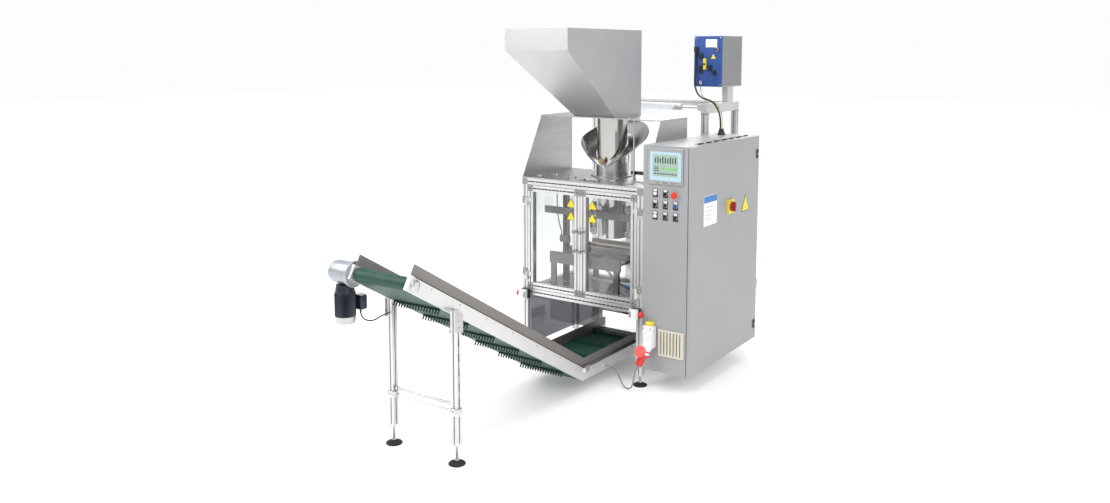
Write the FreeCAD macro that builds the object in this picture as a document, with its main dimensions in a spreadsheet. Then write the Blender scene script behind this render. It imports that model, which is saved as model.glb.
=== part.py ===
import FreeCAD, Part
import math
import os
import re

import Sketcher
from FreeCAD import Placement, Rotation, Vector

# Vertical form fill sealer, in millimetres. +Z is up, the guard doors face -Y, the control cabinet is on +X.
# The origin is on the floor, in the middle of the machine's box.

DIMENSIONS = {
    # where the guard frame stands, measured from the origin
    "mid_x": -185, "front_y": 210,
    # slotted aluminium bar
    "bar_side": 45, "slot_open": 8, "slot_lip": 4, "slot_room": 18, "slot_deep": 13,
    # guard frame
    "frame_wide": 990, "frame_deep": 680, "post_low": 75, "frame_top": 1345, "door_low": 540,
    "door_gap": 3, "pane": 5, "skirt_low": 105, "foot_radius": 47, "foot_high": 16, "stem_radius": 8,
    "pin_radius": 5, "pin_play": 0.05, "knuckle_radius": 9, "knuckle_high": 28, "pin_out": 10,
    "handle_low": 850, "handle_high": 1020, "handle_radius": 8, "handle_out": 42,
    # head above the table
    "table_thick": 8, "head_top": 1775, "head_front": 230, "head_back": 620, "head_plate": 8, "cheek": 4,
    "tube_y": 423, "tube_radius": 110, "tube_wall": 2, "tube_low": 900, "table_hole": 119,
    "collar_low": 1425, "collar_high": 1735, "wing_radius": 262, "sheet": 3,
    # product funnel
    "mouth_left": 380, "mouth_right": 126, "mouth_front": 341, "mouth_back": 611, "mouth_low": 2240,
    "mouth_top": 2385, "outlet_left": 213, "outlet_front": 250,
    # film unwind
    "film_front": 928, "film_rear": 1458, "film_beam_top": 1850, "beam_tall": 70, "reel_radius": 170,
    "core_radius": 45, "block_wide": 30,
    "web_wide": 520, "shaft_radius": 18, "roller_radius": 25, "reel_high": 620, "arm_high": 1150,
    # control cabinet
    "cab_wide": 350, "cab_deep": 1080, "cab_low": 130, "cab_top": 1630, "cab_skin": 3, "cab_door": 22,
    "control_pitch": 74, "control_left": 91, "control_low": 1170, "ring_radius": 16, "ring_thick": 5,
    "button_radius": 11, "bezel_left": 38, "bezel_wide": 254, "bezel_low": 1378, "bezel_tall": 238,
    "bezel_thick": 10,
    "screen_wide": 228, "screen_tall": 191, "screen_low": 1404, "screen_deep": 7, "grille_left": 129,
    "grille_wide": 184, "grille_low": 245, "grille_tall": 176, "grille_thick": 12, "grille_pitch": 23,
    "louvre_wide": 40, "louvre_long": 84, "louvre_pitch": 120, "louvre_start": 190, "louvre_in": 62,
    "gland_in": 110, "gland_back": 130, "gland_low_radius": 26, "gland_radius": 17, "gland_tall": 34,
    "gland_nut": 12,
    "door_edge": 30, "lock_wide": 22, "lock_tall": 36, "lock_thick": 7,
    "plate_y": 540, "plate_low": 1130, "plate_side": 95, "plate_thick": 14, "dial_knob": 33, "knob_stub": 16,
    # sealing head inside the guard
    "jaw_high": 780, "jaw_tall": 70, "jaw_thick": 45, "jaw_wide": 360, "jaw_gap": 62, "guide_radius": 12,
    "guide_x": 260, "front_bridge": 1085, "belt_low": 905, "belt_high": 1130, "pulley_radius": 26,
    "guide_plate_y": 52, "guide_plate": 20, "guide_plate_half": 40, "end_reach": 30, "beam_thick": 40,
    "beam_half": 32, "cylinder_radius": 34, "cylinder_long": 145, "ram_start": 160, "ram_radius": 10,
    "column": 36, "column_x": -345, "column_y": 300, "chrome_radius": 9, "bridge_y": 215, "bridge_tall": 50,
    "bridge_thick": 20, "rear_bridge_thick": 30, "slide_radius": 8, "knife_thick": 3, "knife_long": 26,
    "knife_slot": 5, "jaw_slot": 34, "seal_wide": 24, "seal_deep": 18, "seal_tall": 210, "heater_wide": 44,
    "heater_deep": 26, "heater_tall": 130, "draw_deep": 44, "draw_thick": 4, "belt_play": 0.3,
    "cheek_thick": 10, "cheek_half": 16,
    # date coder
    "coder_low": 1970, "coder_top": 2350, "coder_left": 278, "coder_wide": 229, "coder_front": 1150,
    "coder_face": 14, "coder_deep": 356, "coder_post_y": 1290, "coder_post_deep": 100,
    # air service unit
    "air_left": 120, "air_wide": 210, "air_plate": 14, "air_low": 330, "air_pitch": 68, "air_block": 56,
    "air_block_deep": 70, "air_block_low": 470, "air_block_tall": 90, "bowl_radius": 26, "dial_radius": 24,
    "dial_deep": 22, "inlet_radius": 6.58, "inlet_deep": 16, "regulator_tall": 46,
    # frame stop buttons and power socket
    "stop_case": 60, "stop_case_deep": 58, "stop_case_tall": 64, "stop_cap_radius": 20,
    "stop_stem_radius": 11,
    "socket_left": 76, "socket_low": 292, "socket_tall": 150, "socket_wide": 76, "socket_deep": 62,
    "snout_radius": 38, "snout_long": 75, "socket_out": 48, "socket_turn_high": 330,
    # discharge conveyor
    "conv_x": 13, "conv_half": 217, "conv_beam": 22, "conv_tall": 80, "conv_z": 118, "conv_rear": 640,
    "conv_knee": -300, "conv_rise": 30.5, "conv_long": 1828.5, "belt_thick": 4, "flight_high": 32,
    "leg": 40, "leg_y": -1590, "leg_low": 112, "brace_high": 290, "cord_exit_y": -60, "guard_tall": 62,
    "guard_thick": 3, "belt_side": 4, "flight_side": 24, "flight_thick": 6, "tie_radius": 10,
    "roller_shaft": 15,
    "clamp_radius": 28.5, "clamp_tall": 28,
    # conveyor drive
    "flange_radius": 72, "flange_thick": 22, "gear_radius": 62, "gear_long": 130, "gear_cover": 50,
    "neck_radius": 55, "neck_long": 110, "motor_out": 85, "motor_radius": 58, "motor_long": 130,
    "cowl_radius": 56, "cowl_long": 42,
    # cords
    "cord_radius": 4.75, "lead_radius": 6.5, "earth_radius": 3, "motor_lead_radius": 4, "hose_radius": 4,
}

doc = FreeCAD.newDocument("vertical_form_fill_sealer")
sheet = doc.addObject("Spreadsheet::Sheet", "dims")
for row, (alias, value) in enumerate(DIMENSIONS.items(), start=1):
    sheet.set(f"A{row}", alias)
    sheet.set(f"B{row}", str(value))
    sheet.setAlias(f"B{row}", alias)
doc.recompute()

REEL_Y = "(film_front + film_rear + bar_side)/2"
PIVOT_Y = "(film_front + bar_side + 40)"
BRIDGE_Y = "(tube_y + tube_radius + 45)"
GUIDE_Z = "(film_beam_top - 28)"
WORD = re.compile(r"[a-z][a-z_]*")
ALONG = {"x": Rotation(Vector(0, 1, 0), 90), "y": Rotation(Vector(1, 0, 0), -90), "z": Rotation()}
TAIL_Y = "conv_rear - 60"
GUIDE_SIDES = ("-guide_x", "guide_x")
SIDE_POSTS = ("-frame_wide/2 + bar_side/2", "frame_wide/2 - bar_side/2")
LEFT_INSIDE = "-frame_wide/2 + bar_side"
INSIDE_WIDE = "frame_wide - 2*bar_side"
PLANES = {"x": "YZ_Plane", "y": "XZ_Plane", "z": "XY_Plane"}
parts = []
spare_names = {}


def formula(text):
    """A size written with the sheet's words, as an expression on the sheet."""
    return WORD.sub(lambda word: "dims." + word[0] if word[0] in DIMENSIONS else word[0], str(text))


def size(alias):
    return float(sheet.get(alias))


def new(kind, name=None):
    if name is None:
        stem = kind.split("::")[1].lower()
        spare_names[stem] = spare_names.get(stem, 0) + 1
        name = f"{stem}_piece_{spare_names[stem]}"
    thing = doc.addObject(kind, name)
    thing.Label = name
    return thing


def bind(thing, **sizes):
    for prop, text in sizes.items():
        thing.setExpression(prop, formula(text))
    return thing


def place(thing, at, turn=None):
    """Stand a piece at a point of three formulas; turn is (axis, formula of the angle) or a rotation."""
    if isinstance(turn, Rotation):
        thing.Placement = Placement(Vector(), turn)
    elif turn:
        thing.Placement = Placement(Vector(), Rotation(Vector(*turn[0]), 10))
        thing.setExpression("Placement.Rotation.Angle", formula(turn[1]))
    for axis, text in zip("xyz", at):
        thing.setExpression("Placement.Base." + axis, formula(text))
    return thing


def from_frame(x, y, z):
    """A point measured from the guard frame's middle and front plane."""
    return f"mid_x + ({x})", f"front_y + ({y})", f"{z}"


def box(at, sizes, name=None, turn=None):
    thing = bind(new("Part::Box", name), Length=sizes[0], Width=sizes[1], Height=sizes[2])
    return place(thing, from_frame(*at), turn)


def rod(at, radius, length, along="z", name=None, turn=None):
    thing = bind(new("Part::Cylinder", name), Radius=radius, Height=length)
    return place(thing, from_frame(*at), turn or ALONG[along])


def cone(at, low_radius, high_radius, length, along="z", name=None):
    thing = bind(new("Part::Cone", name), Radius1=low_radius, Radius2=high_radius, Height=length)
    return place(thing, from_frame(*at), ALONG[along])


def joined(pieces, name=None):
    thing = new("Part::MultiFuse", name)
    thing.Shapes = pieces
    thing.Refine = True
    return thing


def cut(base, tools, name=None):
    tool = tools[0] if len(tools) == 1 else joined(tools)
    thing = new("Part::Cut", name)
    thing.Base = base
    thing.Tool = tool
    thing.Refine = True
    return thing


def group(pieces, name):
    """Pieces of one kind that stay separate solids under one name."""
    thing = new("Part::Compound", name)
    thing.Links = pieces
    return thing


def tube(at, radius, wall, length, along="z", name=None):
    bore = rod(at, f"{radius} - ({wall})", length, along)
    return cut(rod(at, radius, length, along), [bore], name)


def draw(sketch, outline):
    """A closed outline of straight sides, each corner bound to its two formulas."""
    count = len(outline)
    angles = [2 * math.pi * k / count for k in range(count)]
    start = [Vector(math.cos(angle), math.sin(angle)) * 100 for angle in angles]
    for k in range(count):
        sketch.addGeometry(Part.LineSegment(start[k], start[(k + 1) % count]), False)
    for k in range(count):
        sketch.addConstraint(Sketcher.Constraint("Coincident", k, 2, (k + 1) % count, 1))
    for k, corner in enumerate(outline):
        for kind, text, value, axis in zip(("DistanceX", "DistanceY"), corner, start[k], (-2, -1)):
            if str(text) == "0":
                sketch.addConstraint(Sketcher.Constraint("PointOnObject", k, 1, axis))
            else:
                index = sketch.addConstraint(Sketcher.Constraint(kind, -1, 1, k, 1, value))
                sketch.setExpression(f"Constraints[{index}]", formula(text))


def sketched(outline, across, name=None):
    """A body with one sketch on the origin plane that the given axis crosses."""
    body = new("PartDesign::Body", name)
    plane = next(item for item in body.Origin.OriginFeatures if item.Role == PLANES[across])
    sketch = body.newObject("Sketcher::SketchObject", body.Name + "_outline")
    sketch.AttachmentSupport = [(plane, "")]
    sketch.MapMode = "FlatFace"
    draw(sketch, outline)
    return body, sketch


def plate(outline, thick, across, at, name=None):
    """A flat piece: its outline, padded both ways from the point it stands at."""
    body, sketch = sketched(outline, across, name)
    pad = body.newObject("PartDesign::Pad", body.Name + "_pad")
    pad.Profile = sketch
    pad.Midplane = True
    bind(pad, Length=thick)
    return place(body, from_frame(*at))


def turned(outline, at, along="z", name=None, turn=None):
    """A round piece: its half outline (radius, height) turned about its own axis."""
    body, sketch = sketched(outline, "y", name)
    spin = body.newObject("PartDesign::Revolution", body.Name + "_turn")
    spin.Profile = sketch
    spin.ReferenceAxis = (sketch, ["V_Axis"])
    spin.Angle = 360
    return place(body, from_frame(*at), turn or ALONG[along])


def slotted_section(name, side):
    """Section of a square aluminium bar with a T-slot in each side, centred on the sketch's origin."""
    corner = [
        (f"-({side})/2", f"-({side})/2"), ("-slot_open/2", f"-({side})/2"),
        ("-slot_open/2", f"slot_lip - ({side})/2"), ("-slot_room/2", f"slot_lip - ({side})/2"),
        ("-slot_room/2", f"slot_deep - ({side})/2"), ("slot_room/2", f"slot_deep - ({side})/2"),
        ("slot_room/2", f"slot_lip - ({side})/2"), ("slot_open/2", f"slot_lip - ({side})/2"),
        ("slot_open/2", f"-({side})/2"),
    ]
    outline = []
    for _ in range(4):
        outline += corner
        corner = [(f"-({y})", x) for x, y in corner]
    section = new("Sketcher::SketchObject", name)
    draw(section, outline)
    return section


def bar(section, at, length, along="z", turn=None):
    """A length of slotted bar; at is the middle of its first end."""
    thing = new("Part::Extrusion")
    thing.Base = section
    thing.DirMode = "Custom"
    thing.Dir = Vector(0, 0, 1)
    thing.Solid = True
    bind(thing, LengthFwd=length)
    return place(thing, from_frame(*at), turn or ALONG[along])


def keep(*things):
    parts.extend(things)


def main_frame(section, hinges):
    """Posts and rails of slotted bar, with the fixed halves of the door hinges on them."""
    posts = [
        bar(section, (x, y, "post_low"), "frame_top - table_thick - post_low")
        for x in SIDE_POSTS for y in ("bar_side/2", "frame_deep - bar_side/2")
    ]
    levels = ("frame_top - table_thick - bar_side/2", "door_low - door_gap - bar_side/2")
    across = [
        bar(section, ("-frame_wide/2 + bar_side", y, z), "frame_wide - 2*bar_side", "x")
        for y in ("bar_side/2", "frame_deep - bar_side/2") for z in levels
    ]
    sides = [
        bar(section, (x, "bar_side", z), "frame_deep - 2*bar_side", "y")
        for x in SIDE_POSTS for z in levels
    ]
    keep(group(posts + across + sides + hinges, "guard_frame"))


def film_frame(section):
    """Rear frame that holds the film reel, its rollers and the date coder."""
    posts = [bar(section, (x, y, "post_low"), "film_beam_top - beam_tall - post_low")
             for x in SIDE_POSTS for y in ("film_front + bar_side/2", "film_rear + bar_side/2")]
    beams = [box((f"{x} - bar_side/2", "film_front", "film_beam_top - beam_tall"),
                 ("bar_side", "film_rear + bar_side - film_front", "beam_tall")) for x in SIDE_POSTS]
    tie_z = "door_low - door_gap - bar_side/2"
    ties = [bar(section, (x, "frame_deep", tie_z), "film_front - frame_deep", "y") for x in SIDE_POSTS]
    rear = [bar(section, (LEFT_INSIDE, "film_rear + bar_side/2", z), INSIDE_WIDE, "x")
            for z in ("film_beam_top - bar_side/2", "door_low - door_gap - bar_side/2")]
    cradle = ("12", "film_rear - film_front - bar_side", "60")
    cradles = [
        cut(box((f"{x} - 6", "film_front + bar_side", "reel_high - 30"), cradle),
            [rod((f"{x} - 6", REEL_Y, "reel_high"), "shaft_radius + pin_play", "12", "x")])
        for x in SIDE_POSTS
    ]
    post = box(("frame_wide/2 - bar_side", "coder_post_y", "film_beam_top"),
               ("bar_side", "coder_post_deep", "coder_low - film_beam_top"))
    keep(group(posts + beams + ties + rear + cradles + roller_blocks() + [post], "film_frame"))


def roller_blocks():
    """Bearing blocks on the film frame's inner sides for the guide roller and the dancer's axle."""
    blocks = []
    for start in ("-frame_wide/2 + bar_side", "frame_wide/2 - bar_side - block_wide"):
        for radius, y, z in (("8", "film_front + bar_side/2", GUIDE_Z), ("12", PIVOT_Y, "arm_high")):
            block = box((start, f"{y} - 22", f"{z} - 22"), ("block_wide", "44", "44"))
            blocks.append(cut(block, [rod((start, y, z), f"{radius} + pin_play", "block_wide", "x")]))
        blocks.append(box((start, "film_front + bar_side/2", "arm_high - 22"),
                          ("block_wide", f"{PIVOT_Y} - 22 - film_front - bar_side/2", "44")))
    return blocks


def levelling_feet():
    """Round pads on threaded stems under the guard frame, the film frame and the conveyor legs."""
    edges = ("bar_side/2", "frame_deep - bar_side/2", "film_front + bar_side/2", "film_rear + bar_side/2")
    places = [(x, y, "post_low") for x in SIDE_POSTS for y in edges]
    places += [(f"conv_x {side} (conv_half + leg/2)", "leg_y", "leg_low") for side in "+-"]
    feet = []
    for x, y, top in places:
        outline = [("0", "0"), ("foot_radius", "0"), ("foot_radius", "foot_high/2"),
                   ("stem_radius*2", "foot_high*1.4"), ("stem_radius", "foot_high*1.4"), ("stem_radius", top),
                   ("0", top)]
        feet.append(turned(outline, (x, y, "0")))
    keep(group(feet, "levelling_feet"))


def guard_panes():
    """Clear panes beside and behind the sealing head, and dark skirts round the discharge."""
    inner = "frame_wide/2 - bar_side/2 - pane/2"
    starts = (f"-({inner}) - pane", inner)
    deep = "frame_deep - 2*bar_side"
    rear_y = "frame_deep - bar_side/2"

    def panels(low, high):
        pieces = [box((x, "bar_side", low), ("pane", deep, high)) for x in starts]
        return pieces + [box((LEFT_INSIDE, rear_y, low), (INSIDE_WIDE, "pane", high))]

    keep(group(panels("door_low", "frame_top - table_thick - bar_side - door_low"), "side_panes"))
    left, right, rear = panels("skirt_low", "door_low - door_gap - bar_side - skirt_low")
    way_in = box(("conv_x - conv_half - 20", "frame_deep - bar_side", "0"),
                 ("2*conv_half + 40", "bar_side", "conv_z + 140"))
    tray = box((LEFT_INSIDE, "bar_side", "door_low - door_gap - pane"), (INSIDE_WIDE, deep, "pane"))
    bag_hole = box(("-250", "tube_y - 150", "0"), ("500", "300", "door_low"))
    keep(group([left, right, cut(rear, [way_in]), cut(tray, [bag_hole])], "smoked_skirts"))


def guard_doors(section):
    """Two framed clear doors; gives back the fixed hinge halves, with the pins that they turn on."""
    low = "door_low"
    high = "frame_top - table_thick - bar_side - door_gap"
    brackets = []
    for label, side in (("left", -1), ("right", 1)):
        wide = "frame_wide/2 - bar_side - 1.5*door_gap"
        outer = f"{side}*(frame_wide/2 - bar_side - door_gap - bar_side/2)"
        inner = f"{side}*(door_gap/2 + bar_side/2)"
        stiles = [bar(section, (x, "bar_side/2", low), f"{high} - ({low})") for x in (outer, inner)]
        rail_start = f"-({wide} + door_gap/2 - bar_side)" if side < 0 else "door_gap/2 + bar_side"
        rails = [bar(section, (rail_start, "bar_side/2", z), f"{wide} - 2*bar_side", "x")
                 for z in (f"{low} + bar_side/2", f"{high} - bar_side/2")]
        grip = [rod((inner, "-handle_out", "handle_low"), "handle_radius", "handle_high - handle_low")]
        grip += [cut(box((f"{inner} - 9", "-handle_out", z), ("18", "handle_out", "20")),
                     [rod((inner, "-handle_out", z), "handle_radius", "20")])
                 for z in ("handle_low + 8", "handle_high - 28")]
        pin_x = f"{side}*(frame_wide/2 - bar_side)"
        leaves = []
        for z in (f"{low} + 90", f"{high} - 120"):
            eye = rod((pin_x, "-pin_out", z), "knuckle_radius", "knuckle_high")
            leaf_x = pin_x if side < 0 else f"{pin_x} - 34"
            leaf = box((leaf_x, "-4", z), ("34", "4", "knuckle_high"))
            web = box((f"{pin_x} - 3", "-pin_out", z), ("6", "pin_out - 1", "knuckle_high"))
            bore = rod((pin_x, "-pin_out", z), "pin_radius + pin_play", "knuckle_high")
            leaves.append(cut(joined([eye, leaf, web]), [bore]))
            lower = rod((pin_x, "-pin_out", f"{z} - knuckle_high - 1"), "knuckle_radius", "knuckle_high")
            post_x = f"{pin_x} - 34" if side < 0 else pin_x
            post_leaf = box((post_x, "-4", f"{z} - knuckle_high - 1"), ("34", "4", "knuckle_high"))
            post_web = box((f"{pin_x} - 3", "-pin_out", f"{z} - knuckle_high - 1"),
                           ("6", "pin_out - 1", "knuckle_high"))
            pin = rod((pin_x, "-pin_out", f"{z} - knuckle_high - 1"), "pin_radius", "2*knuckle_high + 6")
            brackets.append(joined([lower, post_leaf, post_web, pin]))
        keep(group(stiles + rails + leaves + grip, label + "_door_frame"))
        pane_x = f"-({wide} + door_gap/2 - bar_side)" if side < 0 else "door_gap/2 + bar_side"
        keep(box((pane_x, "bar_side/2 - pane/2", f"{low} + bar_side"),
                 (f"{wide} - 2*bar_side", "pane", f"{high} - ({low}) - 2*bar_side"), label + "_door_pane"))
    return brackets


def head():
    """Table with the tube's hole, two sloping cheeks and the top plate that carries the funnel."""
    hole = rod(("0", "tube_y", "frame_top - table_thick"), "table_hole", "table_thick")
    table = cut(box(("-frame_wide/2", "0", "frame_top - table_thick"),
                    ("frame_wide", "head_back", "table_thick")), [hole])
    outlet = rod(("0", "tube_y", "head_top - head_plate"), "tube_radius + 0.3", "head_plate")
    top = cut(box(("-frame_wide/2", "head_front", "head_top - head_plate"),
                  ("frame_wide", "head_back - head_front", "head_plate")), [outlet])
    slope = [("0", "0"), ("head_back", "0"), ("head_back", "head_top - head_plate - frame_top"),
             ("head_front", "head_top - head_plate - frame_top")]
    cheeks = [plate(slope, "cheek", "x", (x, "0", "frame_top"))
              for x in ("-frame_wide/2 + cheek/2", "frame_wide/2 - cheek/2")]
    keep(group([table, top] + cheeks, "head_plates"))
    keep(tube(("0", "tube_y", "tube_low"), "tube_radius", "tube_wall", "head_top - tube_low",
              name="forming_tube"))


def forming_shoulder():
    """Sheet cone round the tube, cut by a plane that rises to the back, so that two wings stay."""
    deep = "collar_high - collar_low"
    outer = cone(("0", "tube_y", "collar_low"), "tube_radius + 6", "wing_radius", deep)
    inner = cone(("0", "tube_y", "collar_low"), "tube_radius + 6 - sheet", "wing_radius - sheet", deep)
    front = box(("-400", "tube_y - tube_radius - 12", "collar_low + 25"), ("800", "800", "800"),
                turn=((1, 0, 0), "63"))
    shell = cut(outer, [inner, front])
    ring = cut(rod(("0", "tube_y", "frame_top"), "tube_radius + 6", "collar_low - frame_top"),
               [rod(("0", "tube_y", "frame_top"), "tube_radius + 1", "collar_low - frame_top")])
    flange = cut(rod(("0", "tube_y", "frame_top"), "tube_radius + 45", "8"),
                 [rod(("0", "tube_y", "frame_top"), "tube_radius + 1", "8")])
    keep(joined([shell, ring, flange], "forming_shoulder"))


def solid_between(low, high):
    """The solid between two level rectangles, each given as (x0, y0, x1, y1, z)."""
    wires = []
    for x0, y0, x1, y1, z in (low, high):
        corners = [Vector(x0, y0, z), Vector(x1, y0, z), Vector(x1, y1, z), Vector(x0, y1, z)]
        wires.append(Part.makePolygon(corners + corners[:1]))
    return Part.makeLoft(wires, True, True)


def product_funnel():
    """Sheet funnel: an upright collar, then faces that lean in to the outlet over the tube."""
    outlet = [-size("outlet_left"), size("outlet_front"), size("mouth_right"), size("mouth_back")]
    mouth = [-size("mouth_left"), -size("mouth_front"), size("mouth_right"), size("mouth_back")]
    skin = size("sheet")

    def filled(inset):
        inward = (inset, inset, -inset, -inset)
        low = [edge + step for edge, step in zip(outlet, inward)]
        wide = [edge + step for edge, step in zip(mouth, inward)]
        lean = solid_between(low + [size("head_top")], wide + [size("mouth_low")])
        collar = solid_between(wide + [size("mouth_low")], wide + [size("mouth_top")])
        return lean.fuse(collar)

    funnel = new("Part::Feature", "product_funnel")
    funnel.Shape = filled(0).cut(filled(skin)).removeSplitter()
    place(funnel, from_frame("0", "0", "0"))
    keep(funnel)


def unwind():
    """Film reel on its shaft, the swinging dancer arm and the guide roller."""
    shaft = rod(("-frame_wide/2 + bar_side/2 - 6", REEL_Y, "reel_high"), "shaft_radius",
                "frame_wide - bar_side + 12", "x")
    wall = "reel_radius - core_radius"
    wound = tube(("-web_wide/2", REEL_Y, "reel_high"), "reel_radius", wall, "web_wide", "x")
    cones = [rod((f"{x} - 20", REEL_Y, "reel_high"), "core_radius", "40", "x")
             for x in ("-web_wide/2", "web_wide/2")]
    keep(joined([wound, joined([shaft] + cones)], "film_reel"))
    arms = [box((x, f"{PIVOT_Y} - 20", "arm_high - 15"), ("10", "300", "30"))
            for x in ("-web_wide/2 - 40", "web_wide/2 + 30")]
    axle = rod(("-frame_wide/2 + bar_side + 1", PIVOT_Y, "arm_high"), "12", f"{INSIDE_WIDE} - 2", "x")
    dance = rod(("-web_wide/2 - 40", f"{PIVOT_Y} + 260", "arm_high"), "roller_radius", "web_wide + 80", "x")
    keep(joined(arms + [axle, dance], "dancer_arm"))
    guide_y = "film_front + bar_side/2"
    roller = rod(("-web_wide/2 - 20", guide_y, GUIDE_Z), "roller_radius", "web_wide + 40", "x")
    spindle = rod((f"{LEFT_INSIDE} + 8", guide_y, GUIDE_Z), "8", f"{INSIDE_WIDE} - 16", "x")
    keep(joined([roller, spindle], "guide_roller"))


def coder():
    """Date coder's controller on its post above the film frame."""
    high = "coder_top - coder_low"
    case = box(("coder_left", "coder_front + coder_face", "coder_low"), ("coder_wide", "coder_deep", high))
    face = box(("coder_left", "coder_front", "coder_low"), ("coder_wide", "coder_face", high))
    outlet = box(("coder_left + 10", "coder_front - 28", "coder_top - 120"), ("24", "28", "40"))
    earth_bolt = box(("coder_left + 52", "coder_front - 20", "coder_low + 20"), ("24", "20", "24"))
    keep(group([case, joined([face, outlet, earth_bolt])], "coder_case"))


def cabinet():
    """Sheet-steel cabinet whose long side is its door, hung at the front edge."""
    left = "frame_wide/2"
    high = "cab_top - cab_low"
    body_wide = "cab_wide - cab_door"
    outer = box((left, "0", "cab_low"), (body_wide, "cab_deep", high))
    inner = box((f"{left} + cab_skin", "cab_skin", "cab_low + cab_skin"),
                (body_wide, "cab_deep - 2*cab_skin", f"{high} - 2*cab_skin"))
    louvre_x = f"{left} + {body_wide} - louvre_in"
    louvres = [box((louvre_x, f"louvre_start + {k}*louvre_pitch", "cab_top - 2*cab_skin"),
                   ("louvre_wide", "louvre_long", "3*cab_skin")) for k in range(7)]
    gland_at = (f"{left} + gland_in", "cab_deep - gland_back")
    bulge = cone((*gland_at, "cab_top"), "gland_low_radius", "gland_radius", "gland_tall")
    nut = rod((*gland_at, "cab_top + gland_tall"), "gland_radius", "gland_nut")
    keep(group([cut(outer, [inner] + louvres), joined([bulge, nut])], "cabinet_shell"))
    door_x = f"{left} + cab_wide - cab_door + 1"
    panel = box((door_x, "1", "cab_low + 1"), ("cab_door - 1", "cab_deep - 2", f"{high} - 2"))
    hollow = box((door_x, "door_edge + 1", "cab_low + door_edge + 1"),
                 ("cab_door - 1 - cab_skin", "cab_deep - 2*door_edge - 2", f"{high} - 2*door_edge - 2"))
    face_x = f"{left} + cab_wide"
    locks = []
    for z in ("cab_top - 130", "cab_low + 110"):
        lock = box((face_x, "cab_deep - 50", f"{z} - lock_tall/2"), ("lock_thick", "lock_wide", "lock_tall"))
        rounds = [rod((face_x, "cab_deep - 39", f"{z} {sign} lock_tall/2"), "lock_wide/2", "lock_thick", "x")
                  for sign in "+-"]
        locks.append(joined([lock] + rounds))
    keep(group([cut(panel, [hollow])] + locks, "cabinet_door"))
    middle = ("plate_y + plate_side/2", "plate_low + plate_side/2")
    back = box((face_x, "plate_y", "plate_low"), ("plate_thick", "plate_side", "plate_side"))
    keep(cut(back, [rod((f"{face_x} + 4", *middle), "knob_stub + pin_play", "10", "x")], "isolator_plate"))
    dial = rod((f"{face_x} + 14.5", *middle), "dial_knob", "14", "x")
    stub = rod((f"{face_x} + 4.5", *middle), "knob_stub", "12", "x")
    grip = box((f"{face_x} + 28", f"{middle[0]} - 8", f"{middle[1]} - 31"), ("16.5", "16", "62"))
    keep(joined([dial, stub, grip], "isolator_knob"))


def control(kind, x, z):
    """The moving piece of one control: a mushroom, a selector's handle or a button."""
    stem = rod((x, "-11", z), "button_radius", "7", "y")
    if kind == "emergency_stop":
        pieces = [rod((x, "-30", z), "21", "14", "y"), cone((x, "-34", z), "15", "21", "4", "y"),
                  rod((x, "-17", z), "button_radius", "12", "y")]
    elif kind.endswith("selector"):
        pieces = [stem, box((f"{x} - 4", "-24", f"{z} - 11"), ("8", "14", "22"))]
    else:
        pieces = [stem, rod((x, "-12", z), "button_radius - 1", "2", "y")]
    return joined(pieces, kind)


def fascia():
    """Touch screen, push buttons and selectors on the cabinet's front, and the filter grille below."""
    left = "frame_wide/2"
    screen_x = f"{left} + bezel_left + (bezel_wide - screen_wide)/2"
    border = box((f"{left} + bezel_left", "-bezel_thick", "bezel_low"),
                 ("bezel_wide", "bezel_thick", "bezel_tall"))
    recess = box((screen_x, "-bezel_thick", "screen_low"), ("screen_wide", "screen_deep", "screen_tall"))
    keep(box((f"{screen_x} + 0.3", "-8", "screen_low + 0.3"),
             ("screen_wide - 0.6", "4.9", "screen_tall - 0.6"), "touch_screen"))
    rows = (("lamp", "light_selector", "emergency_stop"), ("mode_selector", "lamp", "reset_button"),
            ("start_button", "lamp", "stop_button"))
    fixed = [cut(border, [recess])]
    for row, names in enumerate(reversed(rows)):
        for column, name in enumerate(names):
            x = f"{left} + control_left + {column}*control_pitch"
            z = f"control_low + {row}*control_pitch"
            ring = rod((x, "-ring_thick", z), "ring_radius", "ring_thick", "y")
            hole = ((x, "-ring_thick", z), "button_radius + pin_play", "ring_thick", "y")
            if name == "lamp":
                fixed.append(joined([ring, rod((x, "-13", z), "12", "8", "y")]))
            else:
                fixed.append(cut(ring, [rod(*hole)]))
                keep(control(name, x, z))
    keep(group(fixed, "fascia_fittings"))
    grille = box((f"{left} + grille_left", "-grille_thick", "grille_low"),
                 ("grille_wide", "grille_thick", "grille_tall"))
    slots = [box((f"{left} + grille_left + 14 + {k}*grille_pitch", "-grille_thick", "grille_low + 12"),
                 ("10", "8", "grille_tall - 24")) for k in range(7)]
    keep(cut(grille, slots, "filter_grille"))


def power_inlet():
    """Angled wall socket on the cabinet's front, its lid, and the plug of the conveyor's lead."""
    x = "frame_wide/2 + socket_left"
    lean = Vector(-0.30, -0.25, -0.92).normalize()
    turn = Rotation(Vector(0, 0, 1), lean)

    def along(distance, up=0):
        """Point on the leaning snout's axis."""
        steps = [f"({lean_part * distance:.3f})" for lean_part in lean]
        return f"{x} + {steps[0]}", f"{steps[1]} - socket_out", f"socket_turn_high + {steps[2]} + {up}"

    case = box((f"{x} - 42", "-socket_deep", "socket_low"), ("socket_wide", "socket_deep", "socket_tall"))
    snout = rod(along(0), "snout_radius", "snout_long", turn=turn)
    cap = box((f"{x} - 30", "-40", "socket_low + socket_tall"), ("52", "40", "22"))
    keep(joined([case, snout, cap], "wall_socket"))
    outline = [("0", "0"), ("36", "0"), ("36", "20"), ("27", "26"), ("25", "88"), ("11", "100"),
               ("11", "112"), ("0", "112")]
    keep(turned(outline, along(75.4), name="conveyor_plug", turn=turn))
    lid_x, lid_y, lid_z = along(75.4)
    lid = rod((lid_x, f"{lid_y} - 48", f"{lid_z} + 24"), "38", "6", turn=Rotation(Vector(1, 0, 0), 62))
    lid.Label = "socket_lid"
    keep(lid)


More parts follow.
